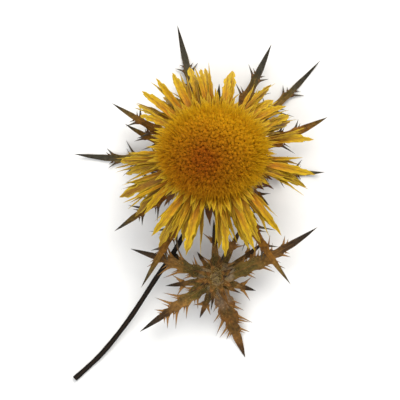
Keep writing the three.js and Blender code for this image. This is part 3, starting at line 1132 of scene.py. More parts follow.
@dataclass(frozen=True)
class LeafyFinish(Finish):
    """A dried leaf or leafy bract: olive and tan, rusty towards its edges, and slate grey on its spine.

    Args:
        stops: The colours from the root to the tip.
        edge: The colour of its edges.
        vein: The colour of its midrib.
        warmth: The colour of its warm patches.
        warm_reach: How much further out the warm colours go on a blade of tint 1 than on one of tint 0.
    """

    stops: Stops = (
        (0.0, Dye.RUSSET),
        (0.2, Dye.OCHRE),
        (0.4, Dye.BARK),
        (0.52, Dye.OLIVE),
        (0.64, Dye.SLATE),
        (0.95, Dye.SOOT),
    )
    edge: Dye = Dye.TAN
    vein: Dye = Dye.TAN
    warmth: Dye = Dye.OCHRE
    warm_reach: float = 0.35

    def surface(self, graph: Graph) -> Look:
        """Works out the look of each point.

        Args:
            graph: The material's nodes.

        Returns:
            The colour, the relief and its strength.
        """
        along, across = self.attribute(graph, "along"), self.attribute(graph, "across")
        tint, place = self.attribute(graph, "tint"), self.place(graph)
        cloud = self.noise(graph, place, 260.0, 4.0)
        grain = self.noise(graph, place, 1400.0, 3.0)
        shifted = graph.math("MULTIPLY_ADD", graph.math("SUBTRACT", cloud, 0.5), 0.35, along)
        shifted = graph.math("SUBTRACT", shifted, graph.math("MULTIPLY", tint, self.warm_reach))
        colour = self.ramp(graph, shifted, self.stops)
        off = graph.math("ABSOLUTE", across)
        edges = self.stretch(graph, off, 0.6, 1.0, 0.0, 0.55)
        edges = graph.math("MULTIPLY", edges, self.stretch(graph, shifted, 0.5, 0.75, 1.0, 0.15))
        colour = self.mix(graph, edges, colour, linear(self.edge.value))
        rib = self.stretch(graph, off, 0.04, 0.14, 0.6, 0.0)
        rib = graph.math("MULTIPLY", rib, self.stretch(graph, shifted, 0.5, 0.7, 1.0, 0.0))
        colour = self.mix(graph, rib, colour, linear(self.vein.value))
        warm = self.stretch(graph, graph.math("MULTIPLY", tint, cloud), 0.1, 0.5, 0.0, 0.7)
        warm = graph.math("MULTIPLY", warm, self.stretch(graph, shifted, 0.3, 0.65, 1.0, 0.0))
        colour = self.mix(graph, warm, colour, linear(self.warmth.value))
        # Random darker and lighter patches. They are partly the leaves' own blotches and partly painted
        # shade, strong enough to stand for the dark gaps between leaves and bracts.
        mottle = self.stretch(graph, graph.math("ADD", cloud, grain), 0.75, 1.25, 0.4, 1.2)
        colour = self.shaded(graph, mottle, colour)
        slant = graph.math("SUBTRACT", graph.math("MULTIPLY", along, 110.0), off)
        veins = graph.math("SINE", graph.math("MULTIPLY_ADD", off, -6.0, slant))
        relief = graph.math("MULTIPLY_ADD", veins, 0.25, graph.math("ADD", grain, cloud))
        return colour, relief, 0.6


@dataclass(frozen=True)
class ThornFinish(Finish):
    """A hard thorn.

    Args:
        stops: The colours from its foot to its tip.
    """

    stops: Stops = ((0.0, Dye.RUST), (0.25, Dye.UMBER), (0.55, Dye.SLATE), (1.0, Dye.SOOT))

    def surface(self, graph: Graph) -> Look:
        """Works out the look of each point.

        Args:
            graph: The material's nodes.

        Returns:
            The colour, the relief and its strength.
        """
        along, place = self.attribute(graph, "along"), self.place(graph)
        grain = self.noise(graph, place, 900.0)
        colour = self.ramp(graph, along, self.stops)
        light = self.stretch(graph, grain, 0.5, 0.8, 0.0, 0.4)
        return self.mix(graph, light, colour, linear(Dye.TAN.value)), grain, 0.3


@dataclass(frozen=True)
class WoolFinish(Finish):
    """Pale cobwebby hair."""

    def surface(self, graph: Graph) -> Look:
        """Works out the look of each point.

        Args:
            graph: The material's nodes.

        Returns:
            The colour, the relief and its strength.
        """
        cloud = self.noise(graph, self.place(graph), 500.0)
        colour = self.mix(graph, cloud, linear(Dye.TAN.value), linear(Dye.CREAM.value))
        return colour, cloud, 0.1


@dataclass(frozen=True)
class FloretFinish(Finish):
    """Florets and their chaff: brown in the middle of the disc and golden at its rim. The brown is their own
    colour; its centre is moved to a spot at the lower left as painted shade.

    Args:
        inner: The colours from foot to tip in the middle.
        outer: The colours from foot to tip at the rim.
        turn: The shares of the radius between which one gives way to the other.
    """

    # The feet keep the colour that the florets have up to 0.6 of their height, not a darker one: painted
    # bounced light in the deep gaps between them.
    inner: Stops = ((0.0, Dye.RUSSET), (0.6, Dye.RUSSET), (1.0, Dye.BRONZE))
    outer: Stops = ((0.0, Dye.AMBER), (0.6, Dye.AMBER), (1.0, Dye.GOLD))
    turn: tuple[float, float] = (0.2, 1.15)

    def surface(self, graph: Graph) -> Look:
        """Works out the look of each point.

        Args:
            graph: The material's nodes.

        Returns:
            The colour, the relief and its strength.
        """
        along, rim = self.attribute(graph, "along"), self.attribute(graph, "rim")
        tint, place = self.attribute(graph, "tint"), self.place(graph)
        patch = self.noise(graph, place, 120.0, 2.0)
        uneven = graph.math("MULTIPLY", graph.math("SUBTRACT", patch, 0.5), 0.5)
        share = self.stretch(graph, graph.math("ADD", rim, uneven), *self.turn, 0.0, 1.0)
        inner, outer = self.ramp(graph, along, self.inner), self.ramp(graph, along, self.outer)
        colour = self.mix(graph, share, inner, outer)
        shade = self.stretch(graph, tint, 0.0, 1.0, 0.84, 1.14)
        colour = self.shaded(graph, shade, colour)
        return colour, self.noise(graph, place, 1500.0), 0.3


@dataclass(frozen=True)
class StalkFinish(Finish):
    """A dark dried stalk with paler lengthwise streaks."""

    def surface(self, graph: Graph) -> Look:
        """Works out the look of each point.

        Args:
            graph: The material's nodes.

        Returns:
            The colour, the relief and its strength.
        """
        place, groove = self.place(graph), self.attribute(graph, "groove")
        slots = {"Vector": place, "Rotation": (0.0, 0.0, -0.5), "Scale": (1.0, 0.12, 1.0)}
        drawn = graph.add("ShaderNodeMapping", slots).outputs[0]
        streaks = self.noise(graph, drawn, 1500.0, 4.0)
        cloud = self.noise(graph, place, 180.0)
        pale = self.stretch(graph, streaks, 0.5, 0.85, 0.0, 0.3)
        colour = self.mix(graph, pale, linear(Dye.PITCH.value), linear(Dye.UMBER.value))
        crest = graph.math("MULTIPLY", self.stretch(graph, groove, 0.3, 1.0, 0.0, 0.14), cloud)
        colour = self.mix(graph, crest, colour, linear(Dye.TAN.value))
        return colour, graph.math("ADD", streaks, cloud), 0.6


@dataclass(frozen=True)
class FloorFinish(Finish):
    """A plain pale surface.

    Args:
        dull: The colour of its darker spots.
        bright: The colour of its lighter spots.
    """

    dull: Colour = (246, 246, 245)
    bright: Colour = (250, 250, 249)

    def surface(self, graph: Graph) -> Look:
        """Works out the look of each point.

        Args:
            graph: The material's nodes.

        Returns:
            The colour, the relief and its strength.
        """
        grain = self.noise(graph, self.place(graph), 400.0)
        colour = self.mix(graph, grain, linear(self.dull), linear(self.bright))
        return colour, grain, 0.02


# ---------------------------------------------------------------- the head


CHAFF_THICKNESS: Stations = ((0, 0.3), (0.5, 0.18), (0.95, 0.1), (1, 0.02))
FINE_OUTLINE: Stations = ((0, 0.5), (0.35, 0.8), (0.6, 0.9), (0.8, 0.45), (0.92, 0.16), (1, 0.0))
# Directions in which the rays have parted or been lost, and half of each gap, in degrees.
RAY_GAPS = (
    (6, 8), (20, 3), (65, 7), (86, 4), (106, 3), (163, 15), (196, 3), (225, 6), (267, 6), (326, 12),
)
CUP_SIDES = 72


def in_gap(around: float) -> bool:
    """Says whether a direction in degrees falls in one of the gaps between the rays."""
    return any(abs((around - at + 540) % 360 - 180) < half for at, half in RAY_GAPS)


@dataclass(frozen=True)
class FineRing:
    """A ring of fine blades of one pattern. A pair is a middle value and how far a blade may stray from it.

    Args:
        count: How many blades it has.
        group: The first of the sets that they are drawn from.
        root: The radius of their roots.
        reach: The radius of their tips.
        height: The height of their roots.
        slope: Their height's change in step with t.
        bend: Their height's change in step with t squared.
        width: Their width.
        tint: Their share of colour.
        swing: How far their tips stray sideways.
        twist: How far their tips stray about their length, in radians.
        fold: How steeply their two halves rise from the middle line.
        kind: The number of the pattern they are bent from.
    """

    count: int
    group: int
    root: float
    reach: Spread
    height: Spread
    slope: Spread
    bend: Spread
    width: Spread
    tint: Spread
    swing: float
    twist: float
    fold: float = 0.0
    kind: int = 0

    def blades(self) -> list[Blade]:
        """Places the blades round the ring.

        Returns:
            The blades.
        """
        made = []
        for i in range(self.count):
            made.append(
                Blade(
                    around=(i + strayed((0.5, 0.45), i, self.group)) * 360 / self.count,
                    root=self.root,
                    reach=strayed(self.reach, i, self.group + 1),
                    height=strayed(self.height, i, self.group + 2),
                    slope=strayed(self.slope, i, self.group + 3),
                    bend=strayed(self.bend, i, self.group + 4),
                    width=strayed(self.width, i, self.group + 5),
                    tint=strayed(self.tint, i, self.group + 6),
                    swing=self.swing * jitter(i, self.group + 7),
                    twist=self.twist * jitter(i, self.group + 8),
                    fold=self.fold,
                    kind=self.kind,
                )
            )
        return made


@dataclass
class RayBracts:
    """The golden, papery inner bracts that spread like the rays of a daisy.

    Args:
        count: How many stand in the ring, before some are lost.
        root: The radius of their roots.
        reach: The radius of their tips.
        reach_spread: How much that varies.
        height: The height of the upper layer's roots.
        layer_step: How much lower the lower layer starts.
        rise: How steeply the upper ones rise at first.
        sag: How far they bend down.
        swing: How far their tips stray sideways.
        width: Their width.
        kinds: How many patterns they are bent from.
        sliver_ring: The finer rays between them. Most are dark, partly from their own browner colour and
            partly as painted shade between the broad rays.
        stub: The radius at which those in a gap are broken off.
        frill: The short chaffy bracts that stand close round the disc, in the gaps too.
        collar: The radius and height of each turn of the collar that they stand on.
        finish: Their surface.
    """

    count: int = 74
    root: float = 10.2
    reach: float = 24.6
    reach_spread: float = 2.8
    height: float = -1.25
    layer_step: float = 0.55
    rise: float = 2.2
    sag: float = 7.2
    swing: float = 1.9
    width: float = 2.1
    kinds: int = 10
    sliver_ring: FineRing = FineRing(
        count=260,
        group=71,
        root=10.2,
        reach=(22.4, 4.2),
        height=(-1.45, 0.5),
        slope=(1.4, 1.8),
        bend=(-7.2, 2.6),
        width=(1.1, 0.33),
        # Low tints make most slivers dark: their own browner colour and painted shade between the broad rays.
        tint=(0.38, 0.32),
        swing=2.4,
        twist=1.3,
    )
    stub: Spread = (14.2, 1.6)
    frill: FineRing = FineRing(
        count=110,
        group=81,
        root=10.2,
        reach=(15.9, 1.9),
        height=(-0.55, 0.2),
        slope=(4.2, 1.3),
        bend=(-3.2, 1.3),
        width=(1.25, 0.38),
        tint=(0.5, 0.2),
        swing=0.8,
        twist=0.6,
    )
    collar: Stations = ((0.01, -2.4), (10.4, -2.4), (10.9, -1.6), (10.7, -0.6), (10.2, 0.3), (0.01, 0.3))
    finish: PaperyFinish = PaperyFinish("papery_bract", 0.5, 0.25)

    def patterns(self) -> list[Pattern]:
        """Makes the patterns that the rays are bent from: folded, curled and crumpled.

        Returns:
            The patterns, by turns pointed and blunt.
        """
        pointed = ((0, 0.6), (0.3, 0.85), (0.62, 1), (0.8, 0.78), (0.92, 0.36), (1, 0.0))
        blunt = ((0, 0.6), (0.3, 0.85), (0.62, 1), (0.86, 0.82), (0.96, 0.42), (1, 0.0))
        shared = {"thickness": CHAFF_THICKNESS, "rows": 22, "columns": 8, "ribs": 3, "rib_height": 0.035}
        made = []
        for k in range(self.kinds // 2):
            hollow, curl = 0.4 + (0.2 * k) % 0.5, 0.25 - 0.15 * k
            made.append(Pattern(pointed, cupping=hollow, ripple=0.08, fray=0.45, seed=k, **shared))
            made.append(Pattern(blunt, cupping=curl, ripple=0.1, fray=0.6, seed=k + 5, **shared))
        return made

    def blades(self) -> list[Blade]:
        """Places the rays of the model's two layers, without those that have been lost.

        Returns:
            The rays.
        """
        made = []
        for i in range(self.count):
            around = (i + 0.4 * jitter(i, 11)) * 360 / self.count
            lower = i % 2
            blade = Blade(
                around=around,
                root=self.root,
                reach=self.reach + self.reach_spread * jitter(i, 12),
                height=self.height - lower * self.layer_step,
                slope=self.rise * (1 - lower) + 0.8 * jitter(i, 13),
                bend=-self.sag - lower * 1.6 + 1.6 * jitter(i, 14),
                swing=self.swing * jitter(i, 15),
                twist=0.5 * jitter(i, 16),
                width=self.width * (1 + 0.15 * jitter(i, 17)),
                kind=int((self.kinds - 0.01) * scatter(i, 18)),
                # The lower layer gets lower tints and so darker colours: painted shade under the upper layer.
                tint=scatter(i, 19) * (1 - 0.35 * lower),
            )
            if not in_gap(around):
                made.append(blade)
        return made

    def slivers(self) -> list[Blade]:
        """Places the finer rays between the broad ones. Those in a gap are broken off.

        Returns:
            The finer rays.
        """
        made = []
        for i, blade in enumerate(self.sliver_ring.blades()):
            stub = strayed(self.stub, i, 72)
            made.append(replace(blade, reach=stub) if in_gap(blade.around) else blade)
        return made

    def build(self, bender: BladeBender) -> list[Object]:
        """Makes the rays, the slivers, the frill and the collar that they all stand on.

        Args:
            bender: The tree that bends them.

        Returns:
            The pieces.
        """
        skin = self.finish.material()
        shape = {"rows": 12, "columns": 4, "cupping": 0.6, "ripple": 0.09, "fray": 0.2, "seed": 11}
        slim = Pattern(FINE_OUTLINE, CHAFF_THICKNESS, **shape)
        return [
            bender.blades("ray_bracts_papery", self.blades(), self.patterns(), skin, HEAD),
            bender.blades("ray_bracts_slivers", self.slivers(), [slim], skin, HEAD),
            bender.blades("ray_bracts_frill", self.frill.blades(), [slim], skin, HEAD),
            turned_piece("ray_bracts_collar", self.collar, CUP_SIDES, HEAD, skin, along=0.05, tint=0.2),
        ]


@dataclass
class MiddleBracts:
    """The short brown bracts under the rays.

    Args:
        count: How many stand in a ring.
        root: The radius of their roots.
        reach: The radius of their tips.
        reach_spread: How much that varies.
        height: The height of their roots.
        row_step: How much lower the ring behind starts.
        drop: How far their belly hangs below their root.
        belly: Where that belly is along them. Past 1, they hang to the tip.
        width: Their width.
        fold: How steeply their two halves rise from the middle line.
        finish: Their surface.
    """

    count: int = 22
    root: float = 10.8
    reach: float = 16.4
    reach_spread: float = 1.6
    height: float = -3.1
    row_step: float = 0.4
    drop: float = 4.8
    belly: float = 1.3
    width: float = 2.1
    fold: float = 0.15
    finish: PaperyFinish = PaperyFinish(
        "brown_bract",
        0.6,
        0.4,
        stops=((0.0, Dye.RUSSET), (0.5, Dye.RUST), (0.85, Dye.OCHRE), (1.0, Dye.TAN)),
        shade=Dye.CHESTNUT,
        # Their painted edge highlights are tan.
        fibres_and_painted_highlight=Dye.TAN,
    )

    def blades(self) -> list[Blade]:
        """Places the bracts of the model's ring and of a second one behind it.

        Returns:
            The bracts.
        """
        made = []
        for i in range(self.count * 2):
            behind = i >= self.count
            n = i % self.count
            blade = Blade(
                around=(n + 0.5 * behind + 0.25 * jitter(n, 21)) * 360 / self.count,
                root=self.root,
                reach=self.reach + self.reach_spread * jitter(i, 22),
                height=self.height - self.row_step * behind,
                swing=jitter(i, 24),
                width=self.width,
                fold=self.fold,
                tint=scatter(i, 25),
            )
            made.append(blade.sagging(self.drop + 0.9 * jitter(i, 23) + 1.4 * behind, self.belly))
        return made

    def build(self, bender: BladeBender) -> Object:
        """Makes the bracts.

        Args:
            bender: The tree that bends them.

        Returns:
            All of them as one piece.
        """
        outline = ((0, 0.9), (0.4, 1), (0.6, 0.75), (0.75, 0.35), (0.9, 0.16), (1, 0))
        thick = ((0, 0.45), (0.6, 0.35), (0.95, 0.14), (1, 0.02))
        face = {"cupping": 0.2, "ripple": 0.06, "ribs": 2, "rib_height": 0.04}
        pattern = Pattern(outline, thick, rows=16, columns=6, **face)
        return bender.blades("middle_bracts_brown", self.blades(), [pattern], self.finish.material(), HEAD)


BRACT_OUTLINE: Stations = ((0, 0.8), (0.2, 1), (0.42, 0.95), (0.58, 0.64), (0.72, 0.45), (0.88, 0.23), (1, 0))
BRACT_THICKNESS: Stations = ((0, 0.6), (0.3, 0.36), (0.55, 0.42), (0.72, 0.5), (0.88, 0.34), (1, 0.02))
BRACT_ROUNDNESS: Stations = ((0, 0.2), (0.5, 0.2), (0.7, 1), (1, 1))


@dataclass(frozen=True)
class ThornRow:
    """The thorns along both edges of a leaf or an outer bract.

    Args:
        first: Where the first stands along the blade.
        last: Where the last stands.
        length: Their length.
        breadth: The breadth of their foot.
        lean: How far they lean out, in degrees.
        lean_spread: How much that varies.
        inset: Where their foot is, as a share of the half width.
        along_spread: How far their places along the blade vary.
        small_step: How far past each one a smaller thorn stands, along the blade.
        small_inset: Where that one's foot is, as a share of the half width.
        small_length: Its length, as a share of the larger one's.
        small_breadth: The breadth of its foot.
    """

    first: float = 0.24
    last: float = 0.62
    length: float = 4.2
    breadth: float = 1.5
    lean: float = 48.0
    lean_spread: float = 8.0
    inset: float = 0.5
    along_spread: float = 0.03
    small_step: float = 0.05
    small_inset: float = 0.7
    small_length: float = 0.42
    small_breadth: float = 0.7

    def places(self, count: int, number: int, group: int) -> list[tuple[float, int, float]]:
        """Places the thorns of one blade.

        Args:
            count: How many stand along each edge.
            number: The blade's number.
            group: The set that they are drawn from.

        Returns:
            The place along the blade, the side and the length of each.
        """
        made = []
        for k in range(count):
            for way in (1, -1):
                n = number * 20 + k * 2 + (1 if way > 0 else 0)
                share = k / (count - 1) if count > 1 else 0.5
                t = self.first + (self.last - self.first) * share + self.along_spread * jitter(n, group)
                size = (0.85 + 0.35 * scatter(n, group + 1)) * (0.8 + 0.4 * math.sin(math.pi * share))
                made.append((t, way, self.length * size))
        return made


def hair() -> Mesh:
    """Makes a bent three-sided hair one unit long and one wide.

    Returns:
        The mesh.
    """
    rings = turned_rings([(0.5, 0.0), (0.42, 0.4), (0.3, 0.75), (0.04, 1.0)], 3)
    rings[:, :, 0] += 4 * rings[:, :, 2] ** 2
    return closed_rings("hair", rings, {"along": rings[:, :, 2]})


def thorn() -> Mesh:
    """Makes a thorn one unit long and one wide at its foot, which is flat. Further up it is round.

    Returns:
        The mesh.
    """
    sides = 6
    sections = (
        # height, half breadth, half depth
        (0.0, 0.5, 0.08),
        (0.12, 0.4, 0.12),
        (0.28, 0.22, 0.14),
        (0.6, 0.12, 0.11),
        (1.0, 0.008, 0.008),
    )
    angles = np.arange(sides) * 2 * np.pi / sides
    circle = np.stack([np.cos(angles), np.sin(angles)], axis=1)
    rings = np.array([np.column_stack([circle * (w, d), np.full(sides, z)]) for z, w, d in sections])
    return closed_rings("thorn", rings, {"along": rings[:, :, 2]})


def thorny(blades: Sequence[Blade], counts: Sequence[int], group: int) -> tuple[list[Pattern], list[Needle]]:
    """Works out the toothed pattern of each blade and the thorns on all of them.

    Args:
        blades: The blades.
        counts: How many thorns each has along an edge.
        group: The set that the thorns are drawn from.

    Returns:
        The patterns and the thorns.
    """
    row, thorns, patterns = ThornRow(), [], []
    for i, (blade, count) in enumerate(zip(blades, counts)):
        teeth = row.places(count, i, group)
        patterns.append(
            Pattern(
                BRACT_OUTLINE,
                BRACT_THICKNESS,
                BRACT_ROUNDNESS,
                rows=44,
                columns=10,
                cupping=0.12,
                ripple=0.07,
                notch=0.3,
                teeth=tuple((t, way) for t, way, _ in teeth),
                seed=i + group,
            )
        )
        for n, (t, way, length) in enumerate(teeth):
            draw = n + 40 * i
            along, side, up = blade.frame(t)
            outwards = side * way
            half = float(np.interp(t, *np.array(BRACT_OUTLINE).T)) * blade.width / 2
            foot = blade.centre(t) + outwards * half * row.inset + up * blade.fold * half * row.inset
            lean = math.radians(row.lean + row.lean_spread * jitter(draw, 51))
            pointing = along * math.cos(lean) + outwards * math.sin(lean) + up * 0.12 * jitter(draw, 52)
            thorns.append(Needle(foot, pointing.normalized(), up, length, row.breadth))
            foot = blade.centre(t + row.small_step) + outwards * half * row.small_inset
            pointing += up * 0.25 * jitter(draw, 53)
            small = length * row.small_length
            thorns.append(Needle(foot, pointing.normalized(), up, small, row.small_breadth))
    return patterns, thorns


@dataclass(frozen=True)
class Wool:
    """The fine cobwebby hairs at the feet of leaves and bracts.

    Args:
        each: How many hairs each blade has.
        last: How far along the blade they go.
        length: Their length.
        group: The set that they are drawn from.
        breadth: Their breadth.
        spread: How far out the outermost stand, as a share of the blade's width.
    """

    each: int
    last: float
    length: float
    group: int
    breadth: float = 0.04
    spread: float = 0.42

    def on(self, blades: Sequence[Blade]) -> list[Needle]:
        """Grows the hairs of some blades, on both edges and on the face.

        Args:
            blades: The blades.

        Returns:
            The hairs.
        """
        hairs = []
        for i, blade in enumerate(blades):
            for k in range(self.each):
                n = i * self.each + k
                t = self.last * scatter(n, self.group) ** 1.4
                along, side, up = blade.frame(t)
                across = jitter(n, self.group + 1)
                foot = blade.centre(t) + side * across * blade.width * self.spread
                foot += up * abs(across) * blade.fold * blade.width * self.spread
                way = up * (0.4 + 0.4 * scatter(n, self.group + 2)) + side * across
                way += along * jitter(n, self.group + 3)
                size = self.length * (0.6 + 0.8 * scatter(n, self.group + 4))
                face = along.cross(way).normalized()
                hairs.append(Needle(foot, way.normalized(), face, size, self.breadth))
        return hairs


@dataclass
class OuterBracts:
    """The cup behind the disc and the leafy, thorny bracts that grow from it.

    Args:
        root: The radius of the bracts' roots.
        height: The height of their roots.
        belly: Where along them they hang lowest.
        thickness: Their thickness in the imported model.
        fold: How steeply their two halves rise from the middle line.
        swing: How far their tips stray sideways.
        teeth: How many thorns each has along an edge.
        cup: The radius and height of each turn of the cup, from the stem up.
        places: The bracts, one by one.
        scale_rows: The rows of scales on the cup.
        finish: The surface of the bracts, the scales and the cup.
        wool_finish: The surface of the hairs.
        thorn_finish: The surface of the thorns.
    """

    root: float = 7.4
    height: float = -8.4
    belly: float = 0.72
    thickness: float = 0.8
    fold: float = 0.22
    swing: float = 1.6
    teeth: int = 3
    cup: Stations = (
        (0.01, -12.6),
        (2.2, -12.6),
        (3.6, -12.0),
        (5.2, -10.9),
        (7.0, -9.4),
        (8.6, -7.8),
        (9.6, -5.9),
        (10.3, -4.2),
        (10.6, -2.4),
        (0.01, -2.2),
    )
    places: tuple[tuple[float, float, float, float | None, float], ...] = (
        # direction, radius of the tip, width, depth or none where it rests, share of brown
        (0, 30, 3.8, None, 0.6),
        (20, 33, 4.8, 4.4, 1.0),
        (45, 41.5, 3.6, None, 0.3),
        (63, 36.5, 4.4, 4.6, 0.1),
        (85, 22.5, 3.2, 6.5, 0.6),
        (104, 40.5, 4.2, None, 0.1),
        (126, 25, 3.4, 6, 0.7),
        (149, 31.5, 3.6, 3.6, 0.7),
        (157, 26, 3.2, 6, 0.8),
        (171, 37.5, 4.0, None, 0.1),
        (193, 23.5, 3.2, 7.5, 0.6),
        (212, 31.5, 3.8, 6.5, 0.7),
        (239, 38, 3.6, 6.5, 0.75),
        (301, 38, 3.8, 7, 0.9),
        (327, 18.5, 3.4, 5.5, 0.9),
    )
    scale_rows: tuple[tuple[int, float, float, float, float], ...] = (
        # count, radius of the root, radius of the tip, height of the root, rise to the tip
        (13, 3.0, 6.9, -12.55, 1.5),
        (17, 5.4, 9.3, -11.15, 2.8),
        (21, 7.9, 10.9, -8.85, 3.9),
    )
    finish: LeafyFinish = LeafyFinish("leafy_bract", 0.68, 0.2)
    wool_finish: WoolFinish = WoolFinish("bract_wool", 0.8, 0.1)
    thorn_finish: ThornFinish = ThornFinish("thorn", 0.55, 0.3)

    def blades(self) -> list[Blade]:
        """Places the bracts as the model has them. One with no depth rests on the surface.

        Returns:
            The bracts.
        """
        made = []
        for i, (around, reach, width, drop, brown) in enumerate(self.places):
            blade = Blade(
                around=around,
                root=self.root,
                reach=reach,
                height=self.height,
                width=width,
                fold=self.fold,
                swing=self.swing * jitter(i, 31),
                kind=i,
                tint=brown,
            )
            if drop is None:
                made.append(blade.resting(self.belly, self.thickness, HEAD))
            else:
                made.append(blade.sagging(drop, self.belly))
        return made

    def scales(self) -> list[Blade]:
        """Places the short scales that lie on the cup, in three rows.

        Returns:
            The scales.
        """
        made = []
        for r, (count, root, reach, height, slope) in enumerate(self.scale_rows):
            for i in range(count):
                n = r * 40 + i
                made.append(
                    Blade(
                        around=(i + 0.5 * (r % 2) + 0.12 * jitter(n, 61)) * 360 / count,
                        root=root,
                        reach=reach + 0.4 * jitter(n, 62),
                        height=height,
                        slope=slope,
                        bend=0.3 + 0.3 * jitter(n, 63),
                        width=2.3,
                        fold=-0.12,
                        tint=scatter(n, 64),
                    )
                )
        return made

    def build(self, bender: BladeBender, setter: NeedleSetter) -> list[Object]:
        """Makes the cup, its scales, the bracts and their thorns and wool.

        Args:
            bender: The tree that bends blades.
            setter: The tree that sets thorns and hairs.

        Returns:
            The pieces.
        """
        blades = self.blades()
        patterns, thorns = thorny(blades, [self.teeth] * len(blades), 32)
        skin = self.finish.material()
        bracts = bender.blades("outer_bracts_leafy", blades, patterns, skin, HEAD)
        hard = self.thorn_finish.material()
        spines = setter.needles("outer_bracts_thorns", thorns, thorn(), hard, HEAD)
        outline = ((0, 0.8), (0.4, 1), (0.75, 0.7), (0.92, 0.3), (1, 0))
        thick = ((0, 0.5), (0.8, 0.3), (1, 0.04))
        scale = Pattern(outline, thick, rows=12, columns=6, cupping=-0.1, ripple=0.03)
        scales = bender.blades("outer_bracts_scales", self.scales(), [scale], skin, HEAD)
        cup = turned_piece("outer_bracts_cup", self.cup, CUP_SIDES, HEAD, skin, along=0.3, tint=0.4)
        down = self.wool_finish.material()
        on_bracts = Wool(each=60, last=0.5, length=1.5, group=101).on(blades)
        on_scales = Wool(each=14, last=0.9, length=1.3, group=111).on(self.scales())
        wool = [
            setter.needles("outer_bracts_wool", on_bracts, hair(), down, HEAD),
            setter.needles("outer_bracts_scale_wool", on_scales, hair(), down, HEAD),
        ]
        return [bracts, spines, scales, cup, *wool]


